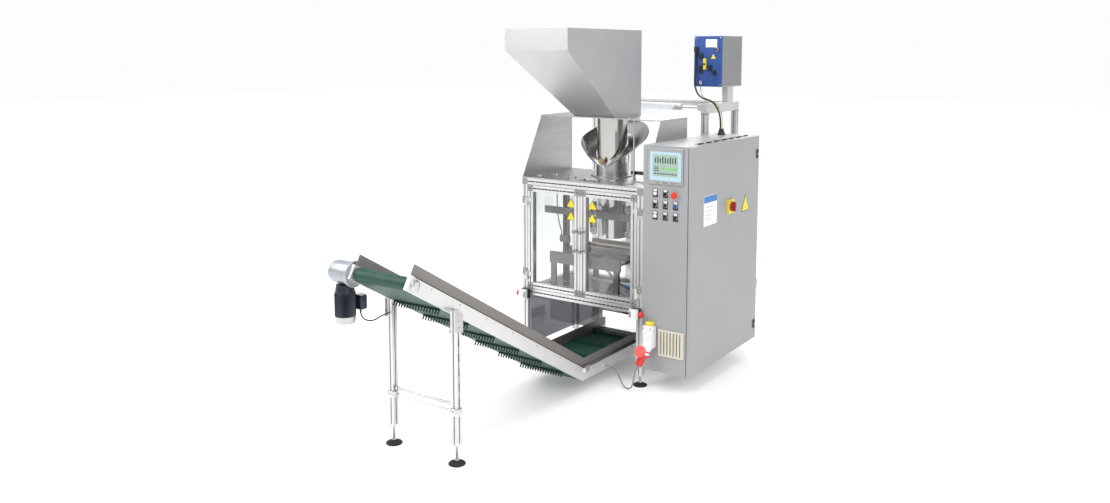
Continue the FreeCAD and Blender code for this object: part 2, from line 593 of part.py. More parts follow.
def air_unit():
    """Filter, regulator and valve block behind the cabinet; its inlet faces away from the guard frame."""
    x = "frame_wide/2 + air_left"
    front = "cab_deep + air_plate"
    middle_y = f"{front} + air_block_deep/2"
    middle_z = "air_block_low + air_block_tall/2"
    back = box((x, "cab_deep", "air_block_low - 70"), ("air_wide", "air_plate", "150"))
    blocks = [box((f"{x} + 10 + {k}*air_pitch", front, "air_block_low"),
                  ("air_block", "air_block_deep", "air_block_tall")) for k in range(3)]
    centres = [f"{x} + 10 + air_block/2 + {k}*air_pitch" for k in range(3)]
    bowls = [rod((centre, middle_y, "air_low"), "bowl_radius", "air_block_low - air_low")
             for centre in centres[:2]]
    dials = [rod((centre, f"{front} + air_block_deep", middle_z), "dial_radius", "dial_deep", "y")
             for centre in centres[1:]]
    inlet_x = f"{centres[2]} + air_block/2 - inlet_deep"
    inlet = rod((inlet_x, middle_y, middle_z), "inlet_radius", "inlet_deep", "x")
    keep(cut(joined([back] + blocks + bowls + dials), [inlet], "air_service_unit"))
    keep(rod((centres[1], middle_y, "air_block_low + air_block_tall + 1"), "dial_radius", "regulator_tall",
             name="regulator_knob"))


def frame_stops():
    """Mushroom stop buttons on boxes at both ends of the lower front rail."""
    boxes = []
    z = "door_low - 38"
    middle_y = "-31"
    for label, start, inward in (("left", "-frame_wide/2 + 8", 1), ("right", "frame_wide/2 - 68", -1)):
        outer_end = start if inward > 0 else f"{start} + stop_case"

        def outward(low, high):
            """Start of a length between two distances out from the case's end."""
            return f"{outer_end} - ({high})" if inward > 0 else f"{outer_end} + ({low})"

        case = box((start, "-60", f"{z} - stop_case_tall/2"),
                   ("stop_case", "stop_case_deep", "stop_case_tall"))
        bore = rod((outward("-14", "0"), middle_y, z), "stop_stem_radius + pin_play", "14", "x")
        mount = box((start, "-2", "door_low - 70"), ("stop_case", "2", "stop_case_tall"))
        boxes.append(joined([cut(case, [bore]), mount]))
        cap = rod((outward("12", "26"), middle_y, z), "stop_cap_radius", "14", "x")
        stem = rod((outward("-8", "12"), middle_y, z), "stop_stem_radius", "20", "x")
        keep(joined([cap, stem], label + "_frame_stop"))
    keep(group(boxes, "stop_boxes"))


def sealing_frame():
    """Guide rods with their end plates, the jaw cylinder, the head's column and its two bridges."""
    z = "jaw_high"
    rear_end = "frame_deep - bar_side - guide_plate - 2"
    guides = [rod((x, "guide_plate_y + 18", z), "guide_radius",
                  "frame_deep - guide_plate_y - 18 - bar_side", "y") for x in GUIDE_SIDES]
    ends = [box(("-guide_x - end_reach", y, f"{z} - guide_plate_half"),
                ("2*guide_x + 2*end_reach", "guide_plate", "2*guide_plate_half"))
            for y in ("guide_plate_y", rear_end)]
    legs = [box((f"{x} - 20", y, "door_low - 3"),
                ("40", "guide_plate", f"{z} - guide_plate_half - door_low + 3"))
            for x in GUIDE_SIDES for y in ("guide_plate_y", rear_end)]
    cylinder = cut(rod(("0", "guide_plate_y + guide_plate", z), "cylinder_radius", "cylinder_long", "y"),
                   [rod(("0", "ram_start - 30", z), "ram_radius + pin_play", "87", "y")])
    column = box(("column_x", "column_y", "door_low - 3"), ("column", "column", "belt_high + 60 - door_low"))
    clamp = box(("column_x - 17", "column_y - 18", "jaw_high + 60"), ("84", "18", "50"))
    chrome = rod(("column_x + 53", "column_y - 9", "jaw_high + 110"), "chrome_radius",
                 "belt_high - jaw_high - 60")
    rear_bridge = box((LEFT_INSIDE, BRIDGE_Y, "belt_high + 30"),
                      (INSIDE_WIDE, "rear_bridge_thick", "bridge_tall"))
    bore = rod(("0", "bridge_y", "front_bridge"), "slide_radius + pin_play", "bridge_thick", "y")
    front_bridge = cut(box((LEFT_INSIDE, "bridge_y", "front_bridge - bridge_tall/2"),
                           (INSIDE_WIDE, "bridge_thick", "bridge_tall")), [bore])
    fixed = joined([joined(guides + ends + legs), cylinder])
    keep(group([fixed, joined([column, clamp]), chrome, rear_bridge, front_bridge], "sealing_frame"))


def jaws():
    """Front and rear jaw on the guide rods, and the knife in the front jaw's slot."""
    z = "jaw_high"
    front_face = "tube_y - jaw_gap/2"
    front_beam = f"{front_face} - jaw_thick - beam_thick"
    rear_face = "tube_y + jaw_gap/2"
    for label, start, beam_start, slot_start in (
            ("front", f"{front_face} - jaw_thick", front_beam, f"{front_face} - jaw_slot"),
            ("rear", rear_face, f"{rear_face} + jaw_thick", rear_face)):
        jaw = box(("-jaw_wide/2", start, f"{z} - jaw_tall/2"), ("jaw_wide", "jaw_thick", "jaw_tall"))
        beam = box(("-guide_x - beam_half", beam_start, f"{z} - beam_half"),
                   ("2*guide_x + 2*beam_half", "beam_thick", "2*beam_half"))
        pieces = [jaw, beam]
        if label == "front":
            pieces.append(rod(("0", "ram_start", z), "ram_radius", f"{beam_start} - ram_start", "y"))
        bores = [rod((x, beam_start, z), "guide_radius + pin_play", "beam_thick", "y") for x in GUIDE_SIDES]
        slot = box(("-jaw_wide/2", slot_start, f"{z} - knife_slot/2"),
                   ("jaw_wide", "jaw_slot", "knife_slot"))
        keep(cut(joined(pieces), bores + [slot], label + "_jaw"))
    keep(box(("-jaw_wide/2 + 10", f"{front_face} - 30", f"{z} - knife_thick/2"),
             ("jaw_wide - 20", "knife_long", "knife_thick"), "knife"))


def seal_bar():
    """Upright heated bar before the tube, on a slide through the front bridge."""
    bar_y = "tube_y - tube_radius - 38"
    face = box(("-seal_wide/2", bar_y, "belt_low + 20"), ("seal_wide", "seal_deep", "seal_tall"))
    heater = box(("-heater_wide/2", f"{bar_y} - heater_deep", "front_bridge - 70"),
                 ("heater_wide", "heater_deep", "heater_tall"))
    slide = rod(("0", "bridge_y - 20", "front_bridge"), "slide_radius", f"{bar_y} - bridge_y + 20", "y")
    keep(joined([face, heater, slide], "seal_bar"))


def draw_units():
    """Toothed belts on both sides of the tube that pull the film down, each on two pulleys."""
    y0 = "tube_y - draw_deep/2"
    low, high = "(belt_low + pulley_radius)", "(belt_high - pulley_radius)"
    for label, side in (("left", -1), ("right", 1)):
        centre = f"{side}*(tube_radius + pulley_radius + 9)"

        def stadium(radius):
            """Upright slab with round ends, as wide as a belt of this radius."""
            slab = box((f"{centre} - ({radius})", y0, low), (f"2*({radius})", "draw_deep", f"{high} - {low}"))
            return joined([slab] + [rod((centre, y0, z), radius, "draw_deep", "y") for z in (low, high)])

        def drum(z):
            """Pulley with its bore."""
            bore = rod((centre, y0, z), "slide_radius + pin_play", "draw_deep", "y")
            return cut(rod((centre, y0, z), "pulley_radius", "draw_deep", "y"), [bore])

        belt = cut(stadium("pulley_radius + draw_thick"), [stadium("pulley_radius + belt_play")])
        left_edge = f"{centre} - cheek_half"
        cheek = box((left_edge, f"{y0} + draw_deep + 1", f"{low} - cheek_half"),
                    ("2*cheek_half", "cheek_thick", f"{high} - {low} + 2*cheek_half"))
        arm = box((left_edge, f"{y0} + draw_deep + 1 + cheek_thick", f"{high} - 30"),
                  ("2*cheek_half", f"{BRIDGE_Y} - belt_play - tube_y - 33", f"belt_high + 70 - {high} + 30"))
        axles = [rod((centre, y0, z), "slide_radius", "draw_deep + 1", "y") for z in (low, high)]
        shoe = box((f"{centre} - 10", f"{y0} + 2", f"{low} + pulley_radius + 6"),
                   ("20", "draw_deep - 1", f"{high} - {low} - 2*pulley_radius - 12"))
        keep(group([joined([cheek, arm, shoe] + axles), belt, drum(low)], label + "_draw_unit"))
        pulley = drum(high)
        pulley.Label = label + "_drive_pulley"
        keep(pulley)


def on_slope(along, up):
    """Point of the conveyor's side view, measured up the slope from the knee and square to it."""
    y = f"conv_knee - ({along})*cos(conv_rise) + ({up})*sin(conv_rise)"
    z = f"conv_z + ({along})*sin(conv_rise) + ({up})*cos(conv_rise)"
    return y, z


def bent_strip(low, high, start, finish):
    """Outline of a strip that lies level behind the knee and then climbs; low and high are its edges."""
    level = [("conv_rear" if start is None else start, f"conv_z + {edge}") for edge in (low, high)]
    knee = [(f"conv_knee + ({edge})*tan(conv_rise/2)", f"conv_z + {edge}") for edge in (high, low)]
    top = [on_slope(finish, edge) for edge in (high, low)]
    return [level[0], level[1], knee[0], top[0], top[1], knee[1]]


def conveyor_frame(section):
    """Side beams bent at the knee, the legs with their clamps and brace, and the cross ties."""
    roller_y, roller_z = on_slope("conv_long", "0")
    beams = []
    for side, start in (("+", "conv_x + conv_half - conv_beam"), ("-", "conv_x - conv_half")):
        beam = plate(bent_strip("-conv_tall/2", "conv_tall/2", None, "conv_long + 50"), "conv_beam", "x",
                     (f"conv_x {side} (conv_half - conv_beam/2)", "0", "0"))
        ends = [rod((start, y, z), "roller_shaft + pin_play", "conv_beam", "x")
                for y, z in ((roller_y, roller_z), (TAIL_Y, "conv_z"))]
        beams.append(cut(beam, ends))
    legs = []
    clamps = []
    for side in "+-":
        leg_x = f"conv_x {side} (conv_half + leg/2)"
        legs.append(bar(section, (leg_x, "leg_y", "leg_low"),
                        "conv_z + (conv_knee - leg_y)*tan(conv_rise) - leg_low - 20"))
        clamp_z = "brace_high - clamp_tall/2"
        hole = box((f"{leg_x} - leg/2", "leg_y - leg/2", clamp_z), ("leg", "leg", "clamp_tall"))
        clamps.append(cut(rod((leg_x, "leg_y", clamp_z), "clamp_radius", "clamp_tall"), [hole]))
    gland = rod(("conv_x + conv_half", "cord_exit_y", "conv_z"), "9", "18", "x")
    ties = [rod(("conv_x - conv_half + conv_beam", *on_slope(f"{along}", "0")), "tie_radius",
                "2*conv_half - 2*conv_beam", "x") for along in (400, 900, 1400)]
    brace = rod(("conv_x - conv_half", "leg_y", "brace_high"), "8", "2*conv_half", "x")
    keep(group(beams + legs + ties + clamps + [brace, gland], "conveyor_frame"))
    guards = [plate(bent_strip("conv_tall/2", "conv_tall/2 + guard_tall", None, "conv_long + 40"),
                    "guard_thick", "x", (f"conv_x {side} (conv_half - conv_beam + guard_thick)", "0", "0"))
              for side in "+-"]
    keep(group(guards, "conveyor_guards"))


def conveyor_belt():
    """Belt loop over its two rollers and the knee, the flights across it, and the rollers."""
    roller_y, roller_z = on_slope("conv_long", "0")
    belt_top = "conv_tall/2 - 2"

    def loop(radius):
        """Solid that fills the belt's loop out to this half thickness."""
        wide = "2*(conv_half - conv_beam - belt_side)"
        x = "conv_x - conv_half + conv_beam + belt_side"
        level = box((x, "conv_knee", f"conv_z - ({radius})"),
                    (wide, f"{TAIL_Y} - conv_knee", f"2*({radius})"))
        slope = place(bind(new("Part::Box"), Length=wide, Width="conv_long", Height=f"2*({radius})"),
                      from_frame(x, *on_slope("conv_long", f"-({radius})")), ((1, 0, 0), "-conv_rise"))
        ends = [rod((x, y, z), radius, wide, "x")
                for y, z in ((roller_y, roller_z), ("conv_knee", "conv_z"), (TAIL_Y, "conv_z"))]
        return joined([level, slope] + ends)

    belt = cut(loop(belt_top), [loop(f"{belt_top} - belt_thick")])
    belt.Label = "conveyor_belt"
    flight_x = "conv_x - conv_half + conv_beam + flight_side"
    flight_wide = "2*(conv_half - conv_beam - flight_side)"
    flights = []
    for along in range(180, 1800, 270):
        for up in (belt_top, f"-({belt_top}) - flight_high"):
            flight = bind(new("Part::Box"), Length=flight_wide, Width="flight_thick", Height="flight_high")
            flights.append(place(flight, from_frame(flight_x, *on_slope(f"{along}", up)),
                                 ((1, 0, 0), "-conv_rise")))
    for y in (-120, 150, 420):
        flights.append(box((flight_x, f"{y}", f"conv_z + {belt_top}"),
                           (flight_wide, "flight_thick", "flight_high")))
    keep(belt, group(flights, "belt_flights"))
    for name, y, z in (("drive_roller", roller_y, roller_z), ("tail_roller", TAIL_Y, "conv_z")):
        drum = rod(("conv_x - conv_half + conv_beam + 2", y, z), f"{belt_top} - belt_thick - belt_play",
                   "2*(conv_half - conv_beam - 2)", "x")
        shaft = rod(("conv_x - conv_half", y, z), "roller_shaft", "2*conv_half", "x")
        keep(joined([drum, shaft], name))


def conveyor_drive():
    """Worm gearbox on the upper roller's shaft and the motor that stands up from it."""
    roller_y, roller_z = on_slope("conv_long", "0")
    gear_x = "conv_x - conv_half"
    motor_x = f"{gear_x} - motor_out"
    gear = ((f"{gear_x} - gear_long - 20", roller_y, roller_z), "gear_long", "x")
    flange = rod((f"{gear_x} - flange_thick", roller_y, roller_z), "flange_radius", "flange_thick", "x")
    body = rod(gear[0], "gear_radius", *gear[1:])
    cover = rod((f"{gear_x} - gear_long - 38", roller_y, roller_z), "gear_cover", "20", "x")
    keep(joined([flange, body, cover], "gearbox"))
    motor_turn = Rotation(Vector(1, 0, 0), 180)
    neck = cut(rod((motor_x, roller_y, roller_z), "neck_radius", "neck_long", turn=motor_turn),
               [rod(gear[0], "gear_radius + belt_play", *gear[1:])])
    stator = rod((motor_x, roller_y, f"{roller_z} - neck_long"), "motor_radius", "motor_long",
                 turn=motor_turn)
    cowl = rod((motor_x, roller_y, f"{roller_z} - neck_long - motor_long"), "cowl_radius", "cowl_long",
               turn=motor_turn)
    terminal = box((f"{gear_x} - 60", f"{roller_y} + 40", f"{roller_z} - 210"), ("55", "50", "80"))
    keep(joined([neck, stator, cowl, terminal], "conveyor_motor"))


def rounded_route(points, radius):
    """Solid round tube along straight runs joined by tangent arcs, each as large as its runs allow."""
    edges = []
    radii = []
    here = points[0]
    for before, corner, after in zip(points, points[1:], points[2:]):
        into = (corner - before).normalize()
        out = (after - corner).normalize()
        half_turn = into.getAngle(out) / 2
        reach = 0.45 * min(corner.distanceToPoint(before), corner.distanceToPoint(after))
        radii.append(reach / math.tan(half_turn))
        start = corner - into * reach
        finish = corner + out * reach
        inside = (out - into).normalize()
        middle = corner + inside * (radii[-1] / math.cos(half_turn) - radii[-1])
        edges.append(Part.LineSegment(here, start).toShape())
        edges.append(Part.Arc(start, middle, finish).toShape())
        here = finish
    edges.append(Part.LineSegment(here, points[-1]).toShape())
    path = Part.Wire(edges)
    end = Part.Wire([Part.makeCircle(radius, points[0], points[1] - points[0])])
    solid = path.makePipeShell([end], True, False)
    return solid, path.Length, radii


# Routes of the cords, as points from the guard frame's middle and front plane.
CORD_ROUTES = {
    "conveyor_cord": ("cord_radius", [
        (248, -60, 118), (281, -60, 118), (314, -61.5, 111), (343, -66, 94), (366, -74, 69), (385, -82, 42),
        (404.7, -88.1, 18.2), (433.4, -97, 7.6), (463.5, -106.4, 13), (486.9, -113.7, 33.4), (498, -117, 65),
        (501.5, -105.9, 117), (514.7, -94.9, 157.5)]),
    "coder_cable": ("lead_radius", [
        (300, 1136, 2230), (300, 1136, 2150), (296, 1131, 2072), (301, 1118, 1998), (326, 1096, 1936),
        (372, 1068, 1896), (426, 1040, 1880), (482, 1010, 1876), (534, 982, 1852), (574, 960, 1808),
        (598, 950, 1750), (598, 950, 1676)]),
    "earth_wire": ("earth_radius", [
        (342, 1140, 1990), (342, 1140, 1962), (347, 1132, 1934), (363, 1118, 1908), (389, 1100, 1890),
        (422, 1080, 1880), (462, 1058, 1876), (502, 1034, 1866), (540, 1008, 1844), (576, 983, 1812),
        (606, 962, 1770), (613, 945, 1722), (613, 945, 1676)]),
    "motor_lead": ("motor_lead_radius", [
        (-240, -1811, 836), (-240, -1811, 802), (-238, -1789, 773), (-235, -1755, 756), (-231, -1719, 752),
        (-227, -1684, 762), (-224, -1648, 770), (-224, -1610, 770)]),
}
HOSE_ROUTES = [
    [(-355, 240, 1337), (-355, 240, 1270), (-359, 244, 1200), (-363, 250, 1130), (-364, 258, 1062),
     (-361, 268, 1000), (-354, 281, 945), (-350, 291, 915), (-350, 291, 890)],
    [(34, 110, 780), (72, 110, 780), (110, 104, 768), (144, 97, 746), (175, 90, 719), (208, 88, 692),
     (246, 87, 668), (288, 87, 650), (330, 86, 638), (374, 84, 628), (420, 82, 623), (467.5, 82, 623)],
    [(34, 150, 780), (74, 150, 780), (112, 142, 764), (144, 130, 738), (173, 122, 709), (206, 116, 680),
     (246, 112, 655), (290, 110, 635), (334, 108, 620), (378, 106, 609), (423, 103, 603), (467.5, 103, 603)],
]


def cord(name, radius, route):
    """A cord's solid; its length, tightest arc and fill are printed to be read."""
    corner = Vector(size("mid_x"), size("front_y"), 0)
    solid, length, radii = rounded_route([corner + Vector(*point) for point in route], size(radius))
    fill = solid.Volume / (math.pi * size(radius) ** 2 * length)
    print(f"{name}: length {length:.1f}, arc radii {[round(value) for value in radii]}, fill {fill:.4f}")
    return solid


def cords():
    for name, (radius, route) in CORD_ROUTES.items():
        piece = new("Part::Feature", name)
        piece.Shape = cord(name, radius, route)
        keep(piece)
    hoses = new("Part::Feature", "air_hoses")
    hoses.Shape = Part.makeCompound([cord("air_hose", "hose_radius", route) for route in HOSE_ROUTES])
    keep(hoses)


def check_and_write():
    doc.recompute()
    faults = [item.Name for item in doc.Objects if {"Invalid", "Error"} & set(item.State)]
    for part in parts:
        if part.Shape.isNull() or not part.Shape.isValid() or not part.Shape.Solids:
            faults.append(part.Label)
    if faults:
        raise RuntimeError("these pieces failed: " + ", ".join(faults))
    os.makedirs("parts", exist_ok=True)
    for part in parts:
        part.Shape.exportStep(f"parts/{part.Label}.step")
    whole = Part.makeCompound([part.Shape for part in parts]).BoundBox
    limits = (whole.XMin, whole.XMax, whole.YMin, whole.YMax, whole.ZMin, whole.ZMax)
    print(len(parts), "pieces; box", [round(limit, 3) for limit in limits])


square = slotted_section("bar_section", "bar_side")
leg_square = slotted_section("leg_section", "leg")
main_frame(square, guard_doors(square))
film_frame(square)
levelling_feet()
guard_panes()
head()
forming_shoulder()
product_funnel()
unwind()
coder()
cabinet()
fascia()
power_inlet()
air_unit()
frame_stops()
sealing_frame()
jaws()
seal_bar()
draw_units()
conveyor_frame(leg_square)
conveyor_belt()
conveyor_drive()
cords()
check_and_write()
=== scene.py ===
"""Looks of a vertical form fill sealer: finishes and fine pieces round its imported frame."""

import functools
import itertools
import math

import bmesh
import bpy
from mathutils import Matrix, Vector


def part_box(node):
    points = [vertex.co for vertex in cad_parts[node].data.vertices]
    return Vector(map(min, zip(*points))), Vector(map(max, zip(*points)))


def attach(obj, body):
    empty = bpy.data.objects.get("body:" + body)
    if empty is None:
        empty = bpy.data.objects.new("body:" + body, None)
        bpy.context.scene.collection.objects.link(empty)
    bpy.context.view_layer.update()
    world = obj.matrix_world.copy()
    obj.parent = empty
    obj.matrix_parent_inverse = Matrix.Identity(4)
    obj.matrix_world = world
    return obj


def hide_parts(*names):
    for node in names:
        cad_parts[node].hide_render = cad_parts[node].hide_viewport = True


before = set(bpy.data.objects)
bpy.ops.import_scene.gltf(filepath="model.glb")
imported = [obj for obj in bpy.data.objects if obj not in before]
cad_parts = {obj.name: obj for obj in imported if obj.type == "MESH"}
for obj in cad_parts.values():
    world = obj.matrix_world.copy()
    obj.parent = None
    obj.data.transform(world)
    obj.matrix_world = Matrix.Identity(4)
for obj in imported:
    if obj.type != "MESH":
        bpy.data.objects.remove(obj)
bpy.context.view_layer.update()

bl_info = {
    "name": "Vertical form fill sealer",
    "version": (1, 0, 0),
    "blender": (4, 5, 0),
    "location": "View3D > Sidebar > Bagging Machine",
    "description": "Dresses the machine's frame with its finishes and fine pieces",
    "category": "Object",
}

MM = 0.001
ROOT = "machine_frame"
UP = Vector((0, 0, 1))
ALONG = {"x": Vector((1, 0, 0)), "y": Vector((0, 1, 0)), "z": UP}
FRONT = (0, -1, 0)

# places on the machine, in millimetres from the middle of the table's front edge
TUBE_Y = 423
POST_X = 472.5
CONVEYOR_X, KNEE_Y, BELT_Z = 13, -300, 118
BEAM_OUT, LEG_OUT, LEG_Y = 217, 237, -1590
RISE = math.radians(30.5)
ROLLER_ALONG = 1828.5
FINGER_PITCH = 20.5
SOCKET_AT = (571, -48, 330)
SOCKET_LEAN = (-0.30, -0.25, -0.92)


def linear(hex_colour):
    """An sRGB hex colour as the linear values that Blender's sockets take."""
    parts = [int(hex_colour[k:k + 2], 16) / 255 for k in (1, 3, 5)]
    return [c / 12.92 if c <= 0.04045 else ((c + 0.055) / 1.055) ** 2.4 for c in parts]


def swatch(name, hex_colour):
    """A colour setting that starts at a hex value."""
    return bpy.props.FloatVectorProperty(
        name=name, description=f"Colour of the {name.lower()}", subtype="COLOR", size=3,
        min=0, max=1, default=linear(hex_colour))


def measure(name, description, millimetres):
    """A length setting, given in millimetres and kept in metres."""
    return bpy.props.FloatProperty(
        name=name, description=description, default=millimetres * MM, min=0, unit="LENGTH")


class MachineColours(bpy.types.PropertyGroup):
    """Colours of the machine's finishes"""
    cabinet: swatch("Cabinet enamel", "#9C9D9F")
    profile: swatch("Anodised profiles", "#DCDCDB")
    funnel: swatch("Blasted funnel", "#C6C6C5")
    sheet: swatch("Satin sheet steel", "#BDBDBC")
    belt: swatch("Conveyor belt", "#174438")
    motor: swatch("Motor enamel", "#18202F")
    coder: swatch("Coder front", "#274B93")
    warning: swatch("Warning plates", "#E8D62B")
    stop: swatch("Stop buttons", "#D8322C")
    hose: swatch("Air hoses", "#2F74C0")
    guard: swatch("Conveyor guards", "#85817E")
    jaw: swatch("Sealing jaws", "#8A6F5C")


class MachineSizes(bpy.types.PropertyGroup):
    """Sizes of the small fittings"""
    cap: measure("Corner cap", "Side of the plastic caps on the door corners", 43)
    triangle: measure("Warning triangle", "Side of the plain warning triangles", 78)
    bolt: measure("Bolt head", "Diameter of the button-head bolts", 11)
    film: measure("Film thickness", "Thickness of the drawn film web", 0.6)
    finger: measure("Flight finger", "Width of a finger of the conveyor's flights", 9)


# ---------------------------------------------------------------- finishes

def add_node(tree, kind, inputs=None, **settings):
    """Adds a node, sets its properties, then sets or links its inputs."""
    node = tree.nodes.new(kind)
    for name, value in settings.items():
        setattr(node, name, value)
    for name, value in (inputs or {}).items():
        if isinstance(value, bpy.types.NodeSocket):
            tree.links.new(value, node.inputs[name])
        else:
            node.inputs[name].default_value = value
    return node


def shaded(name, colour, roughness, metallic=0.0, **sockets):
    """A material with one Principled shader whose constants stand on its own sockets."""
    material = bpy.data.materials.new(name)
    material.use_nodes = True
    tree = material.node_tree
    shader = tree.nodes["Principled BSDF"]
    shader.inputs["Base Color"].default_value = (*colour, 1)
    shader.inputs["Roughness"].default_value = roughness
    shader.inputs["Metallic"].default_value = metallic
    for socket, value in sockets.items():
        shader.inputs[socket.replace("_", " ")].default_value = value
    material.diffuse_color = (*colour, 1)
    return material, tree, shader


def grained(name, colour, roughness, metallic=0.0, patch=60, tone=0.05, grain=1.2, depth=0.02,
            spread=0.06, stretch=(1, 1, 1), **sockets):
    """A finish with slow changes of tone and a fine grain; patch, grain and depth are in mm."""
    material, tree, shader = shaded(name, colour, roughness, metallic, **sockets)
    place = add_node(tree, "ShaderNodeTexCoord").outputs["Object"]
    drawn = add_node(tree, "ShaderNodeMapping", {"Vector": place, "Scale": stretch}).outputs["Vector"]
    slow = add_node(tree, "ShaderNodeTexNoise",
                    {"Vector": drawn, "Scale": 1 / (patch * MM), "Detail": 3.0}).outputs["Fac"]
    fine = add_node(tree, "ShaderNodeTexNoise",
                    {"Vector": drawn, "Scale": 1 / (grain * MM), "Detail": 2.0}).outputs["Fac"]
    dark, light = ([min(1, c * (1 + sign * tone)) for c in colour] for sign in (-1, 1))
    shade = add_node(tree, "ShaderNodeValToRGB", {"Fac": slow})
    shade.color_ramp.elements[0].color, shade.color_ramp.elements[1].color = (*dark, 1), (*light, 1)
    shade.color_ramp.elements[0].position, shade.color_ramp.elements[1].position = 0.3, 0.7
    tree.links.new(shade.outputs["Color"], shader.inputs["Base Color"])
    sheen = add_node(tree, "ShaderNodeMapRange",
                     {"Value": fine, "To Min": roughness - spread, "To Max": roughness + spread})
    tree.links.new(sheen.outputs["Result"], shader.inputs["Roughness"])
    bump = add_node(tree, "ShaderNodeBump", {"Height": fine, "Distance": depth * MM, "Strength": 1.0})
    tree.links.new(bump.outputs["Normal"], shader.inputs["Normal"])
    return material


def aluminium_anodised(colour):
    """Extruded bar, etched and clear anodised: a matt, pale, even grey with soft highlights."""
    return grained("aluminium_extruded_clear_anodised", colour, 0.40, 0.82, patch=90, tone=0.03, grain=0.8,
                   depth=0.01)


def stainless_satin(colour):
    """Sheet brushed along its length: a grey sheen with faint lines that widen the highlights."""
    return grained("stainless_sheet_brushed", colour, 0.30, 1.0, patch=45, tone=0.07, grain=2.0, depth=0.012,
                   spread=0.10, stretch=(0.06, 0.06, 1))


def stainless_guard(colour):
    """Rolled strip left matt: a warm, rather dark grey whose highlights run along the conveyor."""
    return grained("stainless_strip_matt_rolled", colour, 0.44, 0.55, patch=120, tone=0.08, grain=1.6,
                   depth=0.012,
                   stretch=(1, 0.2, 0.2))


def stainless_blasted(colour):
    """Sheet blasted with fine beads: an even pale grey with broad, soft highlights and no lines."""
    return grained("stainless_sheet_bead_blasted", colour, 0.46, 0.88, patch=260, tone=0.04, grain=1.0,
                   depth=0.015)


def stainless_polished():
    """Drawn tube, polished: upright dark and light reflections, barely broken by fine drawing lines."""
    return grained("stainless_tube_polished", linear("#D2D1CE"), 0.13, 1.0, patch=30, tone=0.05, grain=2.5,
                   depth=0.006, spread=0.04, stretch=(1, 1, 0.03))


def steel_bright():
    """Zinc-plated or ground steel of rods and bolts: bright, slightly blurred reflections."""
    return grained("steel_ground_bright", linear("#C9CACB"), 0.22, 1.0, patch=25, tone=0.05, grain=0.9,
                   depth=0.006)


def powder_coat(colour):
    """Oven-cured powder on sheet steel: satin grey with a fine orange peel, drawn 3 mm wide to show."""
    return grained("steel_sheet_powder_coated_grey", colour, 0.42, 0.0, patch=500, tone=0.035, grain=3.0,
                   depth=0.03, spread=0.05, Specular_IOR_Level=0.6)


def enamel(name, colour):
    """Sprayed machine enamel: a smooth, rather glossy coat over castings and cases."""
    return grained(name, colour, 0.32, 0.0, patch=70, tone=0.10, grain=2.2, depth=0.03, Coat_Weight=0.25)


def moulded(name, colour, roughness=0.42):
    """Injection-moulded ABS with a spark-eroded texture: dull, even colour with a small highlight."""
    return grained(name, colour, roughness, 0.0, patch=35, tone=0.05, grain=0.9, depth=0.02)


def rubber(name, colour):
    """Moulded rubber: near black, very dull, dusty in patches."""
    return grained(name, colour, 0.72, 0.0, patch=22, tone=0.22, grain=1.4, depth=0.05)


def pvc_sheath(name, colour):
    """Extruded soft PVC: smooth along the cord, with a low plastic gloss."""
    return grained(name, colour, 0.45, 0.0, patch=14, tone=0.08, grain=1.1, depth=0.02)


def earth_sheath():
    """Earth lead's two-colour PVC: bands of green on yellow, 5 mm apart."""
    material, tree, shader = shaded("pvc_sheath_green_yellow", linear("#B9BC3A"), 0.45)
    place = add_node(tree, "ShaderNodeTexCoord").outputs["Object"]
    bands = add_node(tree, "ShaderNodeTexWave", {"Vector": place, "Scale": 10.0, "Distortion": 1.5})
    mixed = add_node(tree, "ShaderNodeValToRGB", {"Fac": bands.outputs["Fac"]})
    mixed.color_ramp.interpolation = "CONSTANT"
    mixed.color_ramp.elements[0].color = (*linear("#2C6B3A"), 1)
    mixed.color_ramp.elements[1].color = (*linear("#CFC53C"), 1)
    mixed.color_ramp.elements[1].position = 0.5
    tree.links.new(mixed.outputs["Color"], shader.inputs["Base Color"])
    return material


def polycarbonate(name, colour, roughness):
    """Flat polycarbonate sheet: clear or smoked, with a sharp reflection and a faint tint."""
    material, tree, shader = shaded(name, colour, roughness, 0.0, Transmission_Weight=1.0, IOR=1.58)
    place = add_node(tree, "ShaderNodeTexCoord").outputs["Object"]
    haze = add_node(tree, "ShaderNodeTexNoise", {"Vector": place, "Scale": 9.0, "Detail": 4.0})
    marks = add_node(tree, "ShaderNodeMapRange",
                     {"Value": haze.outputs["Fac"], "To Min": roughness, "To Max": roughness + 0.05})
    tree.links.new(marks.outputs["Result"], shader.inputs["Roughness"])
    return material


def film_web():
    """Thin laminate film pulled tight: mostly clear, with bright creases along its travel."""
    material, tree, shader = shaded("laminate_film_web", linear("#E2E7EA"), 0.14, 0.0, Alpha=0.42,
                                    Coat_Weight=0.5)
    place = add_node(tree, "ShaderNodeTexCoord").outputs["Object"]
    drawn = add_node(tree, "ShaderNodeMapping", {"Vector": place, "Scale": (1, 0.15, 0.4)}).outputs["Vector"]
    creases = add_node(tree, "ShaderNodeTexNoise",
                       {"Vector": drawn, "Scale": 32.0, "Detail": 3.0}).outputs["Fac"]
    bump = add_node(tree, "ShaderNodeBump", {"Height": creases, "Distance": 0.004, "Strength": 0.7})
    tree.links.new(bump.outputs["Normal"], shader.inputs["Normal"])
    return material


